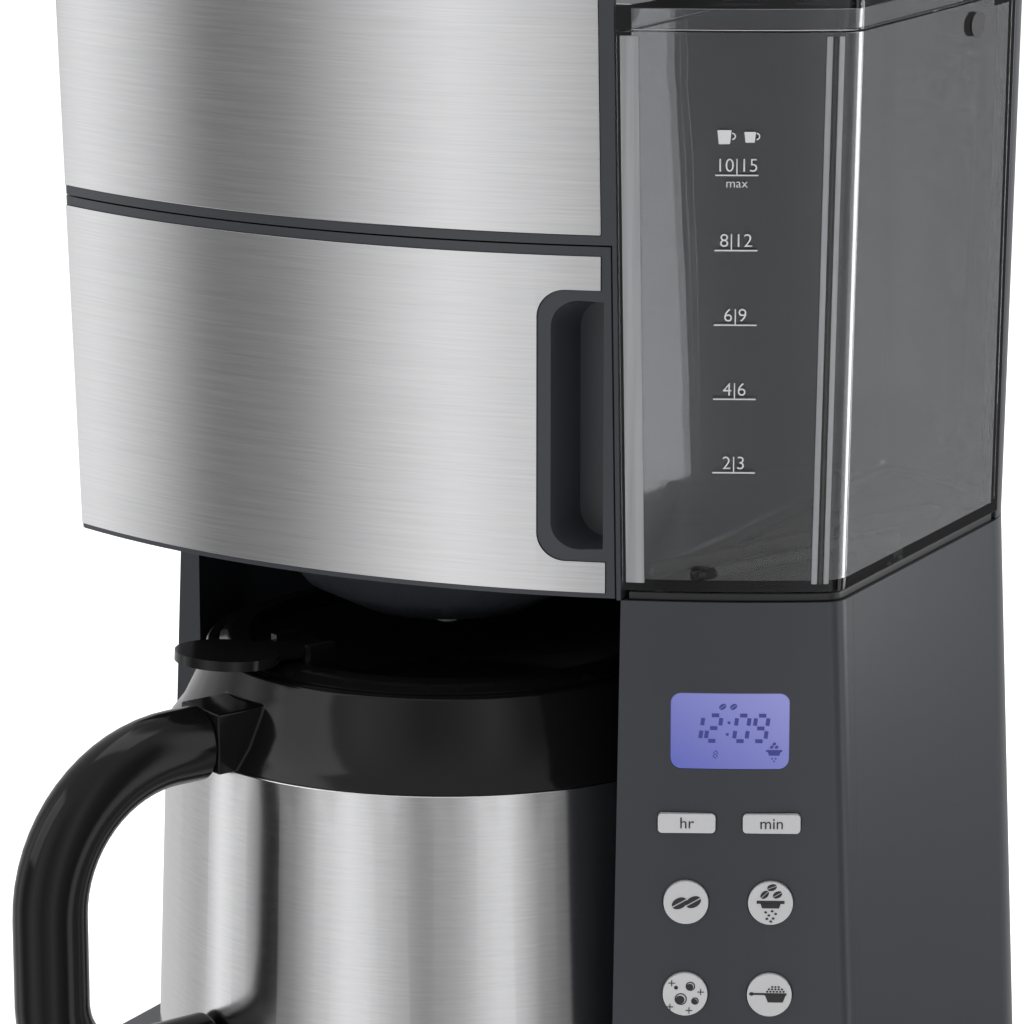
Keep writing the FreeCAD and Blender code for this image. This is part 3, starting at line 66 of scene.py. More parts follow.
MM = 0.001
JUG_LOW, JUG_HIGH = (Vector(corner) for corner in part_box("jug_shell"))
ORIGIN = Vector(((JUG_LOW.x + JUG_HIGH.x) / 2, (JUG_LOW.y + JUG_HIGH.y) / 2, 0.0))
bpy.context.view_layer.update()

# The front is part of a cylinder of this radius round an upright axis this far behind the jug's.
FRONT_RADIUS = 230.0
FRONT_AXIS = 167.5


def spot(x: float, y: float, z: float) -> Vector:
    """A point given in millimetres from the jug's axis, as the frame has it."""
    return ORIGIN + Vector((x, y, z)) * MM


# ---------------------------------------------------------------- shader expressions

class Node:
    """Makes nodes in one material and links them."""

    def __init__(self, tree: bpy.types.NodeTree) -> None:
        """Keeps the tree that the nodes go into."""
        self.tree = tree

    def plug(self, socket: bpy.types.NodeSocket, value: Any) -> None:
        """Sets a socket to a constant or links it.

        Args:
            socket: The input socket.
            value: A number, a colour, a vector or a Wire.
        """
        if isinstance(value, Wire):
            self.tree.links.new(value.socket, socket)
        elif isinstance(value, (tuple, list)) and hasattr(socket.default_value, "__len__"):
            room = len(socket.default_value)
            socket.default_value = (tuple(value) + (1.0,))[:room]
        else:
            socket.default_value = value

    def make(self, kind: str, output: str | int = 0, settings: dict[str, Any] | None = None,
             stops: Sequence[tuple[float, tuple[float, float, float]]] = (),
             inputs: dict[str | int, Any] | None = None) -> "Wire":
        """Makes any node.

        Args:
            kind: The node's type, without its ShaderNode prefix.
            output: The output socket that is handed back.
            settings: Node properties, set before its sockets.
            stops: Colour ramp stops as (position, colour).
            inputs: Values or wires by socket name or number.

        Returns:
            The output as a wire.
        """
        node = self.tree.nodes.new("ShaderNode" + kind)
        for name, value in (settings or {}).items():
            setattr(node, name, value)
        if stops:
            ramp = node.color_ramp
            while len(ramp.elements) < len(stops):
                ramp.elements.new(0.5)
            for element, (place, colour) in zip(ramp.elements, stops):
                element.position, element.color = place, (*colour, 1.0)
        for name, value in (inputs or {}).items():
            self.plug(node.inputs[name], value)
        return Wire(self, node.outputs[output])


class Wire:
    """A socket's value in a sum or product."""

    def __init__(self, node: Node, socket: bpy.types.NodeSocket) -> None:
        """Keeps the maker and the socket."""
        self.node, self.socket = node, socket

    def _math(self, operation: str, *values: Any) -> "Wire":
        """One Math node on the given values."""
        return self.node.make("Math", settings={"operation": operation},
                              inputs=dict(enumerate(values)))

    def __add__(self, other: Any) -> "Wire":
        """Sum."""
        return self._math("ADD", self, other)

    __radd__ = __add__

    def __sub__(self, other: Any) -> "Wire":
        """Difference."""
        return self._math("SUBTRACT", self, other)

    def __rsub__(self, other: Any) -> "Wire":
        """Difference the other way round."""
        return self._math("SUBTRACT", other, self)

    def __mul__(self, other: Any) -> "Wire":
        """Product."""
        return self._math("MULTIPLY", self, other)

    __rmul__ = __mul__

    def arctan2(self, other: "Wire") -> "Wire":
        """Angle of (other, self)."""
        return self._math("ARCTAN2", self, other)


def mix(node: Node, factor: Any, first: Any, second: Any) -> Wire:
    """Blends two colours.

    Args:
        node: The maker.
        factor: 0 for the first colour and 1 for the second.
        first: A colour or wire.
        second: A colour or wire.

    Returns:
        The blended colour.
    """
    return node.make("Mix", output=2, settings={"data_type": "RGBA"},
                     inputs={0: factor, 6: first, 7: second})


# ---------------------------------------------------------------- finishes

@dataclass(frozen=True)
class Finish:
    """Base of all finishes: makes one material and fills in its shader."""

    name: str
    slot: str

    def material(self) -> bpy.types.Material:
        """Makes the material once and hands it back afterwards."""
        found = bpy.data.materials.get(self.name)
        if found:
            return found
        made = bpy.data.materials.new(self.name)
        made.use_nodes = True
        made.node_tree.nodes.clear()
        node = Node(made.node_tree)
        shader = self.shade(node)
        out = made.node_tree.nodes.new("ShaderNodeOutputMaterial")
        node.plug(out.inputs["Surface"], shader)
        return made

    def shade(self, node: Node) -> Wire:
        """Builds the shader; each finish has its own."""
        raise NotImplementedError

    def grain(self, node: Node, size: float, stretch: tuple[float, float, float] = (1, 1, 1),
              detail: float = 3.0) -> Wire:
        """Fine noise.

        Args:
            node: The maker.
            size: Width of one grain in millimetres.
            stretch: How much longer a grain is along each axis.
            detail: Noise octaves.

        Returns:
            A value around 0.5.
        """
        place = node.make("TexCoord", "Object")
        scaled = node.make("Mapping", settings={"vector_type": "POINT"},
                           inputs={"Vector": place, "Scale": tuple(1.0 / s for s in stretch)})
        return node.make("TexNoise", "Fac",
                         inputs={"Vector": scaled, "Scale": 1000.0 / size, "Detail": detail})


@dataclass(frozen=True)
class Moulded(Finish):
    """Moulded plastic or rubber with a fine spark-eroded grain."""

    colour: tuple[float, float, float] = (0.1, 0.1, 0.1)
    roughness: float = 0.4
    grain_size: float = 0.5
    depth: float = 0.02
    coat: float = 0.0
    gleam: float = 0.5

    def shade(self, node: Node) -> Wire:
        """Satin colour that shifts a little, with a grain bump."""
        fine = self.grain(node, self.grain_size)
        broad = self.grain(node, 38.0)
        tone = mix(node, broad, tuple(c * 0.93 for c in self.colour), tuple(c * 1.07 for c in self.colour))
        rough = self.roughness * 0.9 + 0.2 * self.roughness * fine
        bump = node.make("Bump", inputs={"Strength": self.depth * 5, "Distance": 0.00005, "Height": fine})
        return node.make("BsdfPrincipled", inputs={
            "Base Color": tone, "Roughness": rough, "Normal": bump, "Specular IOR Level": self.gleam,
            "Coat Weight": self.coat, "Coat Roughness": 0.05})


@dataclass(frozen=True)
class Brushed(Finish):
    """Steel brushed round an upright axis."""

    axis: tuple[float, float] = (0.0, 0.0)
    roughness: float = 0.3
    streak: float = 0.16
    colour: tuple[float, float, float] = (0.62, 0.62, 0.63)

    def shade(self, node: Node) -> Wire:
        """Long thin streaks in the tone, the gloss and the surface."""
        x, y = (spot(*self.axis, 0.0)[i] for i in range(2))
        place = node.make("TexCoord", "Object")
        split = node.make("SeparateXYZ", 0, inputs={0: place})
        parts = split.socket.node.outputs
        across, back, height = (Wire(node, parts[i]) for i in range(3))
        turn = (across - x).arctan2(y - back)
        coarse = node.make("CombineXYZ", inputs={0: turn * 5.0, 1: 0.0, 2: height * 1500.0})
        fine = node.make("CombineXYZ", inputs={0: turn * 16.0, 1: 3.0, 2: height * 5200.0})
        streaks = node.make("TexNoise", "Fac", inputs={"Vector": coarse, "Scale": 1.0, "Detail": 4.0})
        hairs = node.make("TexNoise", "Fac", inputs={"Vector": fine, "Scale": 1.0, "Detail": 2.0})
        line = 0.5 * streaks + 0.5 * hairs
        low = tuple(c * (1.0 - self.streak) for c in self.colour)
        high = tuple(min(1.0, c * (1.0 + self.streak)) for c in self.colour)
        tone = mix(node, line, low, high)
        rough = self.roughness * (0.75 + 0.5 * line)
        bump = node.make("Bump", inputs={"Strength": 0.12, "Distance": 0.00003, "Height": line})
        return node.make("BsdfPrincipled", inputs={
            "Base Color": tone, "Metallic": 1.0, "Roughness": rough, "Normal": bump})


@dataclass(frozen=True)
class Clear(Finish):
    """Polished clear plastic."""

    roughness: float = 0.0
    tint: tuple[float, float, float] = (0.97, 0.98, 0.985)
    ior: float = 1.46

    def shade(self, node: Node) -> Wire:
        """Clear body with very faint mould flow in its surface."""
        flow = self.grain(node, 60.0, detail=0.0)
        tone = mix(node, flow, self.tint, tuple(c * 0.985 for c in self.tint))
        bump = node.make("Bump", inputs={"Strength": 0.04, "Distance": 0.0002, "Height": flow})
        return node.make("BsdfPrincipled", inputs={
            "Base Color": tone, "Roughness": self.roughness, "Normal": bump, "IOR": self.ior,
            "Transmission Weight": 1.0, "Specular IOR Level": 0.5})


@dataclass(frozen=True)
class PaintedGlint(Finish):
    """Painted highlight along the edge of a clear wall: pale with upright streaks, standing in for light the
    wall bends.
    """

    dim: tuple[float, float, float] = (0.42, 0.43, 0.45)
    bright: tuple[float, float, float] = (0.92, 0.93, 0.94)

    def shade(self, node: Node) -> Wire:
        """Partly clear, painted pale to stand in for the light the wall bends."""
        streaks = self.grain(node, 1.6, (1.0, 1.0, 45.0), 2.0)
        tone = mix(node, streaks, self.dim, self.bright)
        return node.make("BsdfPrincipled", inputs={
            "Base Color": tone, "Roughness": 0.08 + 0.1 * streaks, "Transmission Weight": 0.35,
            "Specular IOR Level": 0.6})


@dataclass(frozen=True)
class Lit(Finish):
    """A lit display, brightest towards one upper corner."""

    dim: tuple[float, float, float] = (0.068, 0.085, 0.36)
    bright: tuple[float, float, float] = (0.25, 0.255, 0.53)
    strength: float = 0.85

    def shade(self, node: Node) -> Wire:
        """Glow that grows towards the upper right and a fine cell pattern."""
        low, high = (Vector(corner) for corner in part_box("lcd_window"))
        place = node.make("TexCoord", "Object")
        parts = node.make("SeparateXYZ", 0, inputs={0: place}).socket.node.outputs
        across = (Wire(node, parts[0]) - low.x) * (0.5 / (high.x - low.x))
        up = (Wire(node, parts[2]) - low.z) * (0.5 / (high.z - low.z))
        cells = self.grain(node, 0.35, detail=0.0)
        tone = mix(node, across + up + 0.1 * cells, self.dim, self.bright)
        return node.make("BsdfPrincipled", inputs={
            "Base Color": (0.03, 0.035, 0.12), "Roughness": 0.3 + 0.1 * cells, "Emission Color": tone,
            "Emission Strength": self.strength, "Coat Weight": 0.15, "Coat Roughness": 0.04})


class Wear(Enum):
    """The machine's finishes."""

    SLATE = Moulded("slate_satin", "slate_plastic", (0.026, 0.028, 0.0345), 0.33, 0.45, 0.05, 0.0, 0.5)
    BLACK = Moulded("black_satin", "black_plastic", (0.012, 0.012, 0.013), 0.38, 0.5, 0.05)
    GLOSS = Moulded("black_gloss", "gloss_black", (0.006, 0.006, 0.0065), 0.13, 3.0, 0.004, 0.0, 0.22)
    PANEL = Brushed("panel_steel", "brushed_steel", (0.0, FRONT_AXIS), 0.2, 0.22)
    JUG = Brushed("jug_steel", "brushed_steel", (0.0, 0.0), 0.17, 0.16)
    INNER = Brushed("inner_steel", "inner_steel", (-5.0, 42.6), 0.35, 0.10, (0.5, 0.5, 0.51))
    SILVER = Moulded("silver_paint", "silver_plastic", (0.44, 0.44, 0.45), 0.3, 0.3, 0.05, 0.0, 0.6)
    TANK = Clear("clear_tank_wall", "clear_plastic", 0.0, (0.88, 0.89, 0.91))
    SMOKE = Clear("clear_hopper", "clear_plastic", 0.03, (0.75, 0.76, 0.78))
    SCREEN = Lit("screen_blue", "display")
    RUBBER = Moulded("rubber_matt", "rubber", (0.02, 0.02, 0.02), 0.75, 0.6, 0.1)
    BOARD = Moulded("board_green", "board", (0.02, 0.12, 0.05), 0.4, 0.8, 0.05)
    NATURAL = Moulded("natural_plastic", "white_plastic", (0.42, 0.43, 0.44), 0.35, 0.5, 0.04)
    CAST = Moulded("cast_alloy", "aluminium", (0.4, 0.4, 0.42), 0.5, 0.8, 0.1)
    # Painted highlight: pale streaked strips stand in for light bent at the tank's clear wall edges.
    EDGE = PaintedGlint("painted_wall_edge_highlight", "clear_plastic")
    PRINT = Moulded("pale_print", "silver_plastic", (0.52, 0.53, 0.54), 0.5, 0.4, 0.02)
    INK = Moulded("dark_print", "gloss_black", (0.015, 0.015, 0.016), 0.45, 0.4, 0.02)
    SEGMENT = Moulded("screen_ink", "display", (0.03, 0.035, 0.22), 0.4, 0.4, 0.02)


# ---------------------------------------------------------------- mesh work

def clear_selection() -> None:
    """Leaves edit mode and deselects everything."""
    if bpy.context.object and bpy.context.object.mode != "OBJECT":
        bpy.ops.object.mode_set(mode="OBJECT")
    for item in bpy.context.selected_objects:
        item.select_set(False)


def take(item: bpy.types.Object) -> bpy.types.Object:
    """Makes an item the only selected and active one."""
    clear_selection()
    bpy.context.view_layer.objects.active = item
    item.select_set(True)
    return item


def body_of(node: str) -> str:
    """The body that holds a CAD node."""
    bodies = frame["record"]["behaviour"]["bodies"]
    return next(body for body, nodes in bodies.items() if node in nodes)


def dress(item: bpy.types.Object, wear: Wear, body: str) -> bpy.types.Object:
    """Gives a finished piece its material and body.

    Args:
        item: The piece.
        wear: Its finish.
        body: The body that it moves with.

    Returns:
        The piece.
    """
    item.data.materials.clear()
    item.data.materials.append(wear.value.material())
    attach(item, body)
    log.info("%s on %s", item.name, body)
    return item


def apply(item: bpy.types.Object, kind: str, **settings: Any) -> None:
    """Adds a modifier and applies it.

    Args:
        item: The object.
        kind: The modifier's type.
        settings: Its properties.
    """
    take(item)
    added = item.modifiers.new(kind.lower(), kind)
    for name, value in settings.items():
        setattr(added, name, value)
    bpy.ops.object.modifier_apply(modifier=added.name)


def soften(item: bpy.types.Object, width: float, segments: int = 3, angle: float = 30.0) -> None:
    """Rounds the sharp edges of a piece and shades it smooth.

    Args:
        item: The piece.
        width: The rounding in millimetres.
        segments: Faces across each rounding.
        angle: Edges sharper than this are rounded, in degrees.
    """
    apply(item, "BEVEL", width=width * MM, segments=segments, limit_method="ANGLE",
          angle_limit=math.radians(angle), miter_outer="MITER_ARC", use_clamp_overlap=True)
    take(item)
    bpy.ops.object.shade_smooth_by_angle(angle=math.radians(35.0))
    apply(item, "WEIGHTED_NORMAL", keep_sharp=True, weight=60)


def merged_copy(node: str, name: str) -> bpy.types.Object:
    """A loose copy of a CAD node with its doubles merged and flat triangles joined.

    Args:
        node: The CAD node.
        name: The copy's name.

    Returns:
        The copy.
    """
    source = frame["nodes"][node]
    item = bpy.data.objects.new(name, source.data.copy())
    bpy.context.scene.collection.objects.link(item)
    take(item)
    bpy.ops.object.mode_set(mode="EDIT")
    bpy.ops.mesh.select_all(action="SELECT")
    bpy.ops.mesh.remove_doubles(threshold=0.000002)
    bpy.ops.mesh.dissolve_limited(angle_limit=math.radians(0.6))
    bpy.ops.object.mode_set(mode="OBJECT")
    return item


def casing(node: str, wear: Wear, width: float, segments: int = 3, angle: float = 30.0) -> bpy.types.Object:
    """Replaces a CAD node by a copy with rounded edges.

    Args:
        node: The CAD node.
        wear: The finish.
        width: The rounding in millimetres.
        segments: Faces across each rounding.
        angle: Edges sharper than this are rounded, in degrees.

    Returns:
        The new piece.
    """
    item = merged_copy(node, node + "_skin")
    if width > 0:
        soften(item, width, segments, angle)
    dress(item, wear, body_of(node))
    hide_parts(node)
    return item


def repaint(node: str, wear: Wear) -> None:
    """Gives a CAD node itself a better material."""
    item = frame["nodes"][node]
    for index in range(max(1, len(item.material_slots))):
        if not item.material_slots:
            item.data.materials.append(wear.value.material())
        item.material_slots[index].material = wear.value.material()


@dataclass(frozen=True)
class Seat:
    """A place on the curved front where flat print or a button face lies."""

    x: float
    z: float
    proud: float
    turn: float
    across: float = 0.0

    def matrix(self) -> Matrix:
        """Local X to the right along the surface, Y up and Z out of it."""
        depth = FRONT_AXIS - FRONT_RADIUS * math.cos(math.asin(self.x / FRONT_RADIUS))
        facing = math.radians(self.turn)
        right = Vector((math.cos(facing), math.sin(facing), 0.0))
        out = Vector((math.sin(facing), -math.cos(facing), 0.0))
        place = spot(self.x, depth, self.z) + out * self.proud * MM
        up = Vector((0.0, 0.0, 1.0))
        flat = Matrix(((right.x, up.x, out.x, place.x), (right.y, up.y, out.y, place.y),
                       (right.z, up.z, out.z, place.z), (0, 0, 0, 1)))
        return flat @ Matrix.Translation((self.across * MM, 0, 0))


# ---------------------------------------------------------------- print

@dataclass
class Emblem:
    """Flat print made of simple shapes, drawn in millimetres and then laid on a surface."""

    name: str
    thickness: float = 0.06
    thin: float = 0.0
    items: list[bpy.types.Object] = field(default_factory=list)

    def _keep(self, x: float, y: float, turn: float, wide: float, tall: float) -> None:
        """Sizes, turns and places the newest shape."""
        item = bpy.context.object
        item.data.transform(Matrix.Translation((x, y, 0)) @ Matrix.Rotation(math.radians(turn), 4, "Z")
                            @ Matrix.Diagonal((wide, tall, 1, 1)))
        self.items.append(item)

    def oval(self, x: float, y: float, wide: float, tall: float, turn: float = 0.0, sides: int = 28) -> None:
        """Adds a filled oval.

        Args:
            x: Its middle, to the right.
            y: Its middle, upwards.
            wide: Its width.
            tall: Its height.
            turn: Degrees anticlockwise.
            sides: Corners round it.
        """
        clear_selection()
        bpy.ops.mesh.primitive_circle_add(vertices=sides, radius=0.5, fill_type="NGON")
        self._keep(x, y, turn, wide, tall)

    def bar(self, x: float, y: float, wide: float, tall: float, turn: float = 0.0,
            narrow: float = 1.0) -> None:
        """Adds a filled bar.

        Args:
            x: Its middle, to the right.
            y: Its middle, upwards.
            wide: Its width.
            tall: Its height.
            turn: Degrees anticlockwise.
            narrow: Its lower side as a share of its width.
        """
        clear_selection()
        bpy.ops.mesh.primitive_plane_add(size=1.0)
        for vertex in bpy.context.object.data.vertices:
            if vertex.co.y < 0:
                vertex.co.x *= narrow
        self._keep(x, y, turn, wide, tall)

    def ring(self, x: float, y: float, outer: float, inner: float, start: float = 0.0,
             sweep: float = 360.0) -> None:
        """Adds a flat ring or a part of one by spinning an edge.

        Args:
            x: Its middle, to the right.
            y: Its middle, upwards.
            outer: Its outer radius.
            inner: Its inner radius.
            start: Where it begins, in degrees anticlockwise.
            sweep: How far it goes round.
        """
        clear_selection()
        bpy.ops.mesh.primitive_plane_add(size=1.0)
        item = bpy.context.object
        bpy.ops.object.mode_set(mode="EDIT")
        bpy.ops.mesh.select_all(action="DESELECT")
        bpy.ops.object.mode_set(mode="OBJECT")
        for vertex in item.data.vertices:
            vertex.select = vertex.co.y > 0
        bpy.ops.object.mode_set(mode="EDIT")
        bpy.ops.mesh.delete(type="VERT")
        bpy.ops.object.mode_set(mode="OBJECT")
        for vertex, radius in zip(item.data.vertices, (inner, outer)):
            vertex.co = (radius, 0.0, 0.0)
        bpy.ops.object.mode_set(mode="EDIT")
        bpy.ops.mesh.select_all(action="SELECT")
        bpy.ops.mesh.spin(steps=32, angle=math.radians(sweep), center=(0, 0, 0), axis=(0, 0, -1))
        bpy.ops.mesh.select_all(action="SELECT")
        bpy.ops.mesh.remove_doubles(threshold=0.001)
        bpy.ops.mesh.normals_make_consistent(inside=False)
        bpy.ops.object.mode_set(mode="OBJECT")
        self._keep(x, y, start, 1.0, 1.0)

    def words(self, text: str, x: float, y: float, size: float) -> None:
        """Adds centred lettering.

        Args:
            text: What it says.
            x: Its middle, to the right.
            y: Its middle, upwards.
            size: The letters' size.
        """
        clear_selection()
        bpy.ops.object.text_add()
        item = bpy.context.object
        item.data.body = text
        item.data.align_x, item.data.align_y = "CENTER", "CENTER"
        item.data.size = size
        item.data.offset = -self.thin * size
        bpy.ops.object.convert(target="MESH")
        self._keep(x, y, 0.0, 1.0, 1.0)

    def bean(self, x: float, y: float, size: float, turn: float) -> None:
        """Adds a coffee bean: an oval with a slit along it.

        Args:
            x: Its middle, to the right.
            y: Its middle, upwards.
            size: Its length.
            turn: Degrees anticlockwise.
        """
        for side in (-1, 1):
            clear_selection()
            bpy.ops.mesh.primitive_circle_add(vertices=28, radius=0.5, fill_type="NGON")
            for vertex in bpy.context.object.data.vertices:
                vertex.co.y = side * max(side * vertex.co.y, 0.055)
            self._keep(x, y, turn, size, size * 0.68)

    def lay(self, seat: Seat, wear: Wear, body: str) -> bpy.types.Object:
        """Joins the shapes, gives them a little thickness and lays them on a surface.

        Args:
            seat: The place on the front.
            wear: The print's finish.
            body: The body that it moves with.

        Returns:
            The print as one piece.
        """
        clear_selection()
        for item in self.items:
            item.select_set(True)
        bpy.context.view_layer.objects.active = self.items[0]
        if len(self.items) > 1:
            bpy.ops.object.join()
        item = bpy.context.object
        item.name = self.name
        apply(item, "SOLIDIFY", thickness=self.thickness, offset=1.0)
        item.data.transform(seat.matrix() @ Matrix.Scale(MM, 4))
        item.data.update()
        return dress(item, wear, body)


# ---------------------------------------------------------------- the machine's sub-assemblies

@dataclass
class Housing:
    """Base, column, tower, upper frame and everything that stays put."""

    def build(self) -> None:
        """Dresses every fixed piece."""
        for node, width in (("base_shell", 1.2), ("rear_column", 0.5), ("tower_fascia", 0.5),
                            ("upper_frame", 0.35), ("rear_cover", 0.6), ("top_deck", 1.0)):
            casing(node, Wear.SLATE, width)
        casing("steel_panel_upper", Wear.PANEL, 0.25, 2)
        casing("tank_seat", Wear.BLACK, 0.4, 2)
        casing("cord_gland", Wear.BLACK, 0.6, 3)
        casing("lcd_window", Wear.SCREEN, 0.2, 2)
        for node, wear in (("bottom_cover", Wear.BLACK), ("rubber_feet", Wear.RUBBER),
                           ("inlet_spout", Wear.BLACK), ("brew_ceiling", Wear.BLACK),
                           ("ground_chute", Wear.BLACK), ("grinder_chamber", Wear.BLACK),
                           ("base_screws", Wear.INNER), ("hinge_pins", Wear.INNER),
                           ("shower_head", Wear.INNER), ("grinder_plate", Wear.INNER),
                           ("grinder_motor", Wear.INNER), ("lcd_module", Wear.SCREEN),
                           ("control_board", Wear.BOARD), ("tact_switches", Wear.BLACK),
                           ("flow_heater", Wear.CAST), ("riser_tube", Wear.RUBBER),
                           ("inlet_hose", Wear.RUBBER)):
            repaint(node, wear)


@dataclass
class Controls:
    """The tower's buttons with their symbols, and the display's figures."""

    column: float = 101.5
    spread: float = 10.6
    facing: float = 26.19
    pad_level: float = 107.3
    first_level: float = 86.6
    pitch: float = 24.2
    proud: float = 0.82
    screen_level: float = 131.0
    screen_proud: float = 0.06

    def seat(self, side: int, level: float) -> Seat:
        """The face of a control, left or right of the middle: all of them face the same way as the tower."""
        return Seat(self.column, level, self.proud, self.facing, side * self.spread)

    def level(self, row: int) -> float:
        """Height of a row of round buttons."""
        return self.first_level - self.pitch * row

    def build(self) -> None:
        """Dresses the buttons and prints their symbols."""
        for node in ("hr_button", "min_button"):
            casing(node, Wear.SILVER, 0.35, 3)
        for node in ("strength_button", "grind_button", "clean_button", "ground_button", "power_button",
                     "timer_button"):
            casing(node, Wear.SILVER, 0.3, 3)
        self.letters("hr", -1)
        self.letters("min", 1)
        for name, side, row, draw in (("strength", -1, 0, self.two_beans),
                                      ("grind", 1, 0, self.beans_over_basket),
                                      ("clean", -1, 1, self.bubbles), ("ground", 1, 1, self.scoop),
                                      ("power", -1, 2, self.power), ("timer", 1, 2, self.clock)):
            emblem = Emblem(name + "_symbol")
            draw(emblem)
            emblem.lay(self.seat(side, self.level(row)), Wear.INK, name + "_button")
        self.display()

    def letters(self, text: str, side: int) -> None:
        """Prints a word on a small pad."""
        emblem = Emblem(text + "_letters")
        emblem.words(text, 0.0, 0.0, 4.1)
        emblem.lay(self.seat(side, self.pad_level), Wear.INK, text + "_button")

    def two_beans(self, emblem: Emblem) -> None:
        """Two leaning beans."""
        emblem.bean(-1.65, -0.15, 4.1, 30.0)
        emblem.bean(1.85, 0.2, 4.1, 30.0)

    def beans_over_basket(self, emblem: Emblem) -> None:
        """Beans falling into a basket and grounds below it."""
        for x, y, turn in ((0.3, 4.2, 20), (-1.5, 2.3, 45), (1.7, 2.3, 30)):
            emblem.bean(x, y, 2.5, turn)
        emblem.bar(0.0, 0.35, 7.0, 0.8)
        emblem.bar(0.0, -0.55, 5.2, 1.4, narrow=0.82)
        for x, y in ((-1.2, -2.3), (0.4, -2.0), (1.3, -2.7), (-0.4, -3.1), (-0.9, -4.0), (0.7, -3.9),
                     (0.1, -4.7)):
            emblem.oval(x, y, 0.75, 0.6, sides=10)

    def bubbles(self, emblem: Emblem) -> None:
        """Three bubbles and three sparkles."""
        for x, y, size in ((-1.1, -1.2, 3.1), (1.3, 2.2, 2.4), (2.5, -1.7, 1.9), (-2.3, 1.8, 1.0)):
            emblem.ring(x, y, size / 2, size / 2 - 0.28)
            emblem.oval(x - size * 0.06, y - size * 0.06, size * 0.72, size * 0.68)
        for x, y in ((-3.4, 3.0), (3.9, 0.7), (-3.8, -3.3), (1.0, -4.2)):
            emblem.bar(x, y, 1.7, 0.22)
            emblem.bar(x, y, 0.22, 1.7)

    def scoop(self, emblem: Emblem) -> None:
        """A scoop heaped with grounds."""
        emblem.bar(-3.0, 0.35, 4.0, 0.5)
        emblem.oval(-4.5, 0.35, 1.2, 0.9)
        emblem.bar(1.5, 0.3, 5.6, 0.6)
        emblem.bar(1.5, -0.9, 5.2, 1.9, narrow=0.72)
        for row, count in enumerate((6, 5, 3)):
            for step in range(count):
                emblem.oval(1.5 + (step - (count - 1) / 2) * 0.82, 1.0 + row * 0.62, 0.6, 0.5, sides=10)

    def power(self, emblem: Emblem) -> None:
        """A broken ring with an upright bar."""
        emblem.ring(0.0, -0.2, 2.9, 2.35, 120.0, 300.0)
        emblem.bar(0.0, 1.7, 0.55, 3.2)

    def clock(self, emblem: Emblem) -> None:
        """A clock face with two hands."""
        emblem.ring(0.0, 0.0, 3.1, 2.6)
        emblem.bar(0.0, 0.9, 0.5, 1.9)
        emblem.bar(0.65, 0.0, 1.5, 0.5)

    def display(self) -> None:
        """Slanted seven-bar figures with small symbols round them."""
        emblem = Emblem("display_figures", 0.03)
        for index, (digit, x) in enumerate((("bc", -8.6), ("abged", -4.1), ("abcdef", 2.9), ("abcdfg", 7.6))):
            self.figure(emblem, digit, x, 0.9, 3.1, 6.6)
        for y in (2.3, -0.7):
            emblem.oval(-0.6 + y * 0.13, y, 0.8, 0.8, sides=12)
        emblem.bean(-1.9, 6.4, 2.0, 35.0)
        emblem.bean(0.8, 6.4, 2.0, 35.0)
        self.figure(emblem, "abcdefg", -3.6, -5.9, 0.9, 1.7)
        emblem.bar(11.0, -4.9, 4.0, 0.5)
        emblem.bar(11.0, -5.6, 3.2, 1.0, narrow=0.8)
        for x, y in ((10.4, -3.9), (11.6, -3.9), (11.0, -3.1)):
            emblem.oval(x, y, 1.0, 0.7, 30.0, 14)
        for x, y in ((10.5, -6.9), (11.4, -6.9), (11.0, -7.6)):
            emblem.oval(x, y, 0.5, 0.4, sides=8)
        place = Seat(self.column, self.screen_level, self.screen_proud, self.facing)
        emblem.lay(place, Wear.SEGMENT, "housing")

    def figure(self, emblem: Emblem, bars: str, x: float, y: float, wide: float, tall: float) -> None:
        """One figure of seven bars.

        Args:
            emblem: Where it is drawn.
            bars: The bars that are lit, a to g.
            x: Its middle, to the right.
            y: Its middle, upwards.
            wide: Its width.
            tall: Its height.
        """
        weight = tall * 0.15
        half, lean = tall / 4, 0.13
        places = {"a": (0, tall / 2, 0), "g": (0, 0, 0), "d": (0, -tall / 2, 0), "b": (wide / 2, half, 1),
                  "c": (wide / 2, -half, 1), "f": (-wide / 2, half, 1), "e": (-wide / 2, -half, 1)}
        for bar in bars:
            across, up, upright = places[bar]
            size = (tall / 2 - weight * 1.4, weight) if upright else (wide - weight * 1.3, weight)
            turn = 90.0 - math.degrees(lean) if upright else 0.0
            emblem.bar(x + across + lean * up, y + up, size[0], size[1], turn)


@dataclass
class FilterDoor:
    """Swing-out door with its steel sheet, basket, filter and drip valve."""

    spring_left: float = 0.3

    def build(self) -> None:
        """Dresses the door's pieces."""
        casing("door_shell", Wear.SLATE, 0.7, 3)
        casing("door_panel", Wear.PANEL, 0.25, 2)
        casing("filter_holder", Wear.SLATE, 0.5, 2, 40.0)
        casing("drip_valve", Wear.NATURAL, 0.4, 2)
        spring = casing("valve_spring", Wear.INNER, 0.0)
        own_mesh(spring)
        repaint("permanent_filter", Wear.INNER)


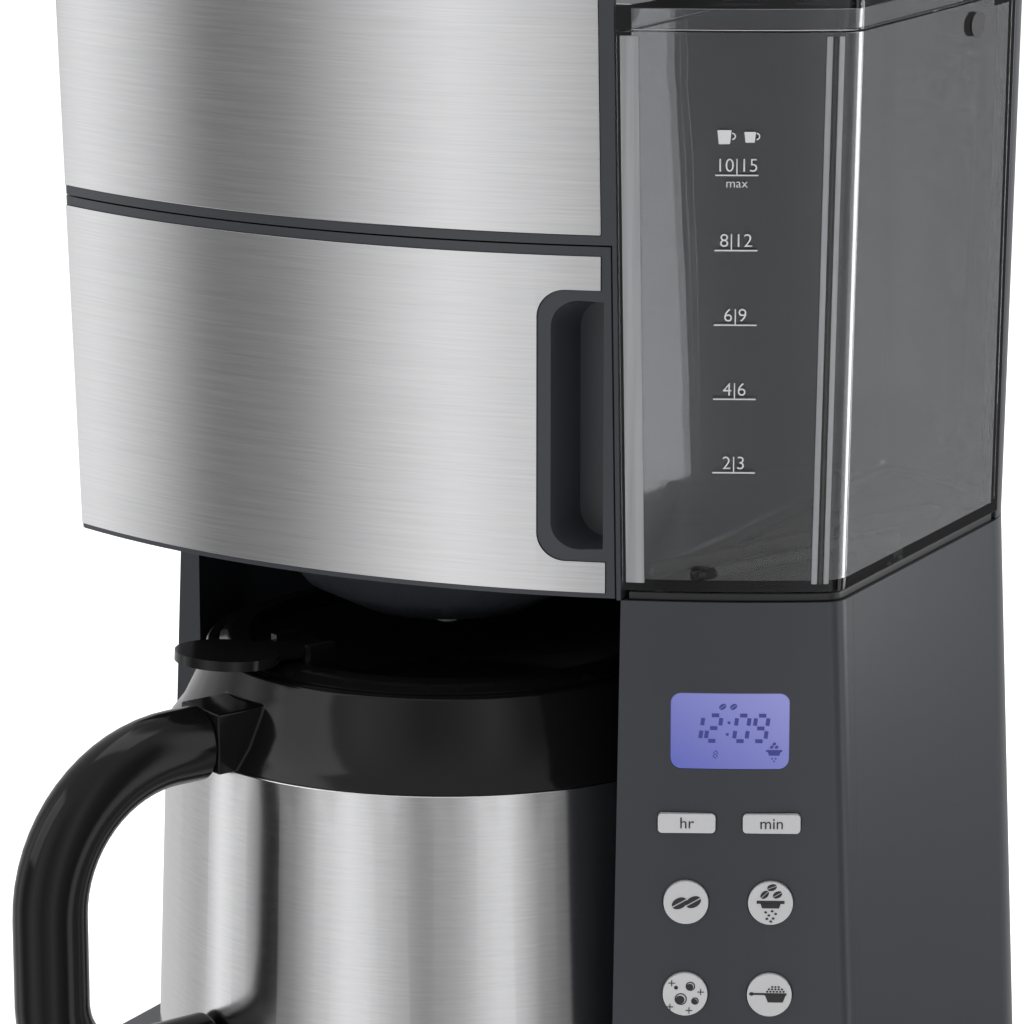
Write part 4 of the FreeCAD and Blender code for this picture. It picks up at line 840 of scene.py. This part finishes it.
@dataclass
class WaterTank:
    """Clear tank with its level marks and lid."""

    column: float = 101.6
    facing: float = 26.2
    top_mark: float = 272.8
    step: float = 18.4
    rib_level: float = 171.0
    rib_height: float = 3.0
    strip_top: float = 304.0
    strip_foot: float = 168.5
    strip_sunk: float = 1.1
    strip_thick: float = 0.8
    slot: tuple[float, float, float] = (126.75, 51.0, 299.0)
    slot_tall: float = 6.4
    slot_wide: float = 9.0

    def build(self) -> None:
        """Dresses the tank and prints its marks."""
        casing("water_tank", Wear.TANK, 0.7, 3)
        casing("tank_lid", Wear.TANK, 0.6, 3)
        repaint("lid_pin", Wear.INNER)
        emblem = Emblem("level_marks", 0.05, 0.006)
        for row, text in enumerate(("10|15", "8|12", "6|9", "4|6", "2|3")):
            y = -self.step * row
            emblem.words(text, 0.0, y, 4.6)
            emblem.bar(0.0, y - 2.3, 10.4, 0.32)
        emblem.words("max", 0.0, -4.3, 3.2)
        for x, wide in ((-3.1, 3.4), (3.1, 2.8)):
            emblem.bar(x, 7.0, wide, 3.4 if x < 0 else 2.6, narrow=0.8)
            emblem.ring(x + wide * 0.55, 7.2, 0.9, 0.6, -90.0, 180.0)
        emblem.lay(Seat(self.column, self.top_mark, 0.03, self.facing), Wear.PRINT, "water_tank")
        # Painted light in the clear walls: the pale strips are painted highlights, the dark strip is a
        # painted dark line beside the corner highlight.
        for name, top, foot, turn, wide, wear in (("tank_edge_left_painted_highlight", 77.3, 79.5, 19.6, 4.6, Wear.EDGE),
                                                  ("tank_edge_inner_painted_highlight", 121.0, 119.4, 31.0, 1.5, Wear.EDGE),
                                                  ("tank_edge_painted_dark_line", 122.3, 120.7, 31.6, 0.9, Wear.INK),
                                                  ("tank_edge_corner_painted_highlight", 123.5, 121.9, 32.0, 1.3, Wear.EDGE)):
            self.strip(name, top, foot, turn, wide, wear)
        self.floor_rib("tank_rib_long", (80.0, -44.0), (116.0, 52.0), 5.0)
        self.floor_rib("tank_rib_short", (93.0, -44.0), (120.0, 18.0), 3.0)
        self.slot_mark()

    def strip(self, name: str, top: float, foot: float, turn: float, wide: float, wear: Wear) -> None:
        """A slim upright strip where the clear wall is thick enough to catch the light: pale as a painted
        highlight, dark as a painted dark line.

        Args:
            name: The piece's name.
            top: How far to the right its upper end is.
            foot: How far to the right its lower end is.
            turn: The way it faces, in degrees from the front.
            wide: Its width.
            wear: Its finish.
        """
        clear_selection()
        bpy.ops.mesh.primitive_cube_add(size=1.0)
        item = bpy.context.object
        item.name = name
        for vertex in item.data.vertices:
            x, z = (top, self.strip_top) if vertex.co.z > 0 else (foot, self.strip_foot)
            place = Seat(x, z, -self.strip_sunk, turn).matrix()
            vertex.co = place @ (Vector((vertex.co.x * wide, 0.0, vertex.co.y * self.strip_thick)) * MM)
        take(item)
        bpy.ops.object.mode_set(mode="EDIT")
        bpy.ops.mesh.select_all(action="SELECT")
        bpy.ops.mesh.normals_make_consistent(inside=False)
        bpy.ops.object.mode_set(mode="OBJECT")
        soften(item, 0.25, 3)
        dress(item, wear, "water_tank")

    def floor_rib(self, name: str, start: tuple[float, float], end: tuple[float, float], wide: float) -> None:
        """A low rounded ridge across the tank's floor.

        Args:
            name: The piece's name.
            start: One end as (x, y).
            end: The other end as (x, y).
            wide: Its width.
        """
        way = Vector((end[0] - start[0], end[1] - start[1], 0.0))
        middle = spot((start[0] + end[0]) / 2, (start[1] + end[1]) / 2, self.rib_level)
        clear_selection()
        bpy.ops.mesh.primitive_cube_add(size=1.0)
        item = bpy.context.object
        item.name = name
        item.data.transform(Matrix.Translation(middle) @ Matrix.Rotation(math.atan2(way.y, way.x), 4, "Z")
                            @ Matrix.Diagonal((way.length * MM, wide * MM, self.rib_height * MM, 1.0)))
        soften(item, 1.2, 4)
        dress(item, Wear.GLOSS, "water_tank")

    def slot_mark(self) -> None:
        """The small latch slot high on the tank's right wall, drawn as a flat dark disc: painted shade for
        its opening.
        """
        clear_selection()
        bpy.ops.mesh.primitive_circle_add(vertices=32, radius=0.5, fill_type="NGON")
        item = bpy.context.object
        item.name = "tank_latch_slot_painted_shade"
        item.data.transform(Matrix.Translation(spot(*self.slot)) @ Matrix.Rotation(math.radians(90.0), 4, "Y")
                            @ Matrix.Diagonal((self.slot_tall * MM, self.slot_wide * MM, 1.0, 1.0)))
        apply(item, "SOLIDIFY", thickness=0.4 * MM, offset=0.0)
        dress(item, Wear.INK, "water_tank")


@dataclass
class Hopper:
    """Bean hopper on its grind dial."""

    def build(self) -> None:
        """Dresses the hopper's pieces."""
        casing("grind_dial", Wear.BLACK, 0.6, 3)
        casing("hopper", Wear.SMOKE, 0.6, 3)
        casing("hopper_lid", Wear.BLACK, 0.9, 3)
        for node in ("upper_burr", "burr_shaft", "lower_burr", "motor_pinion"):
            repaint(node, Wear.INNER)
        repaint("reduction_gear", Wear.NATURAL)


@dataclass
class Jug:
    """Steel vacuum jug with a black collar, handle, lid and lever."""

    handle_angle: float = 246.0
    reach: float = 126.0
    high: float = 119.0
    low: float = 36.0
    upper_bend: float = 38.0
    lower_bend: float = 22.0
    start: float = 80.0
    end: float = 79.2
    tall: float = 9.8
    wide: float = 8.8

    def build(self) -> None:
        """Dresses the jug's pieces."""
        casing("jug_shell", Wear.JUG, 0.6, 2)
        casing("jug_collar", Wear.GLOSS, 0.6, 3, 40.0)
        self.handle()
        casing("jug_lid", Wear.GLOSS, 0.5, 3, 40.0)
        casing("thumb_lever", Wear.GLOSS, 0.9, 3, 40.0)
        repaint("jug_liner", Wear.INNER)
        repaint("lever_pin", Wear.GLOSS)

    def handle(self) -> None:
        """Sweeps the oval grip: out, round the upper bend, down, round the lower bend and back in."""
        clear_selection()
        bpy.ops.mesh.primitive_circle_add(vertices=40, radius=1.0, fill_type="NOTHING")
        item = bpy.context.object
        item.name = "jug_grip"
        item.data.transform(Matrix.Translation((self.start, 0.0, self.high))
                            @ Matrix.Rotation(math.radians(90.0), 4, "Y")
                            @ Matrix.Diagonal((self.tall, self.wide, 1.0, 1.0)))
        out, down = self.reach - self.upper_bend, self.low + self.lower_bend
        level, inner = self.high - self.upper_bend, self.reach - self.lower_bend
        bpy.ops.object.mode_set(mode="EDIT")
        bpy.ops.mesh.select_all(action="SELECT")
        bpy.ops.mesh.edge_face_add()
        self.run((out - self.start, 0.0, 0.0))
        bpy.ops.mesh.spin(steps=16, angle=math.radians(90.0), center=(out, 0.0, level), axis=(0, -1, 0))
        self.run((0.0, 0.0, down - level))
        bpy.ops.mesh.spin(steps=12, angle=math.radians(90.0), center=(inner, 0.0, down), axis=(0, -1, 0))
        self.run((self.end - inner, 0.0, 0.0))
        bpy.ops.mesh.select_all(action="SELECT")
        bpy.ops.mesh.remove_doubles(threshold=0.001)
        bpy.ops.mesh.normals_make_consistent(inside=False)
        bpy.ops.object.mode_set(mode="OBJECT")
        turn = Matrix.Rotation(math.radians(self.handle_angle), 4, "Z")
        item.data.transform(Matrix.Translation(ORIGIN) @ Matrix.Scale(MM, 4) @ turn)
        soften(item, 0.8, 3, 60.0)
        dress(item, Wear.GLOSS, "jug")
        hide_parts("jug_handle")

    def run(self, way: tuple[float, float, float]) -> None:
        """Draws the selected end along a straight stretch."""
        bpy.ops.mesh.extrude_region_move(TRANSFORM_OT_translate={"value": way})


# ---------------------------------------------------------------- studio

@dataclass
class Studio:
    """Camera, floor and lights."""

    lens: float = 158.6
    rise: float = 0.0058
    tilt: float = 77.0
    azimuth: float = 28.0
    eye: tuple[float, float, float] = (561.1, -1018.8, 435.1)
    floor_light: float = 0.55
    top: float = 0.5
    glow: float = 1.6
    cards: tuple[tuple[float, float], ...] = (
        (-180.0, 0.35), (-110.0, 0.47), (-86.0, 0.34), (-75.0, 0.82), (-60.0, 0.44), (-50.0, 0.12),
        (-36.0, 0.19), (-24.0, 0.47), (-12.0, 0.75), (2.0, 0.53), (18.0, 0.22), (34.0, 0.36), (50.0, 0.69),
        (66.0, 0.22), (83.0, 0.06), (90.0, 0.06), (96.0, 1.0), (105.0, 1.0), (111.0, 0.2), (120.0, 0.25),
        (148.0, 0.09), (166.0, 0.09), (180.0, 0.35))

    def build(self) -> None:
        """Makes the camera first and then the light."""
        self.camera()
        self.floor()
        self.softbox("left_box", (-1.3, -1.4, 1.2), 1.2, 1.4, 9.0)
        self.softbox("rear_box", (0.42, 0.34, 0.32), 0.25, 0.6, 1.5)
        self.softbox("top_box", (0.0, 0.2, 1.9), 1.6, 1.2, 10.0)
        self.surroundings()
        bpy.context.scene.view_settings.view_transform = "Standard"

    def surroundings(self) -> None:
        """Pale and dark cards all round, each a share of the horizon, under a soft pale top."""
        world = bpy.data.worlds.new("studio")
        bpy.context.scene.world = world
        world.use_nodes = True
        node = Node(world.node_tree)
        place = node.make("TexCoord", "Generated")
        parts = node.make("SeparateXYZ", 0, inputs={0: place}).socket.node.outputs
        across, back, up = (Wire(node, socket) for socket in parts)
        turn = across.arctan2(0.0 - back) * (0.5 / math.pi) + 0.5
        stops = [((angle + 180.0) / 360.0, (value,) * 3) for angle, value in self.cards]
        cards = node.make("ValToRGB", stops=stops, inputs={0: turn})
        high = node.make("MapRange", settings={"interpolation_type": "SMOOTHSTEP"},
                         inputs={0: up, 1: 0.35, 2: 0.85, 3: 0.0, 4: 1.0})
        tone = mix(node, high, cards, (self.top,) * 3)
        background = world.node_tree.nodes["Background"]
        node.plug(background.inputs["Color"], tone)
        background.inputs["Strength"].default_value = self.glow

    def camera(self) -> None:
        """A long lens from the front right, a little above."""
        data = bpy.data.cameras.new("camera")
        data.lens, data.sensor_width = self.lens, 36.0
        data.shift_y = self.rise
        data.clip_start, data.clip_end = 0.05, 20.0
        item = bpy.data.objects.new("camera", data)
        bpy.context.scene.collection.objects.link(item)
        item.location = spot(*self.eye)
        item.rotation_euler = (math.radians(self.tilt), 0.0, math.radians(self.azimuth))
        bpy.context.scene.camera = item

    def floor(self) -> None:
        """A plain pale floor."""
        clear_selection()
        bpy.ops.mesh.primitive_plane_add(size=14.0)
        item = bpy.context.object
        item.name = "floor"
        plain = bpy.data.materials.new("floor_white")
        plain.use_nodes = True
        shader = plain.node_tree.nodes["Principled BSDF"]
        shader.inputs["Base Color"].default_value = (0.9, 0.9, 0.9, 1.0)
        shader.inputs["Roughness"].default_value = 0.8
        shader.inputs["Emission Color"].default_value = (1.0, 1.0, 1.0, 1.0)
        shader.inputs["Emission Strength"].default_value = self.floor_light
        item.visible_glossy = False
        item.data.materials.append(plain)

    def softbox(self, name: str, place: tuple[float, float, float], wide: float, tall: float,
                power: float) -> None:
        """One large soft light aimed at the machine.

        Args:
            name: Its name.
            place: Where it hangs, in metres.
            wide: Its width in metres.
            tall: Its height in metres.
            power: Its power in watts.
        """
        data = bpy.data.lights.new(name, "AREA")
        data.shape, data.size, data.size_y, data.energy = "RECTANGLE", wide, tall, power
        item = bpy.data.objects.new(name, data)
        bpy.context.scene.collection.objects.link(item)
        item.visible_camera = False
        item.visible_transmission = False
        item.location = place
        item.rotation_euler = (Vector((0.0, 0.0, 0.2)) - Vector(place)).to_track_quat("-Z", "Y").to_euler()


def main() -> None:
    """Builds the studio, then the machine from the base up."""
    for part in (Studio(), Housing(), Controls(), FilterDoor(), WaterTank(), Hopper(), Jug()):
        log.info("building %s", type(part).__name__)
        part.build()
    clear_selection()


if __name__ == "__main__":
    main()
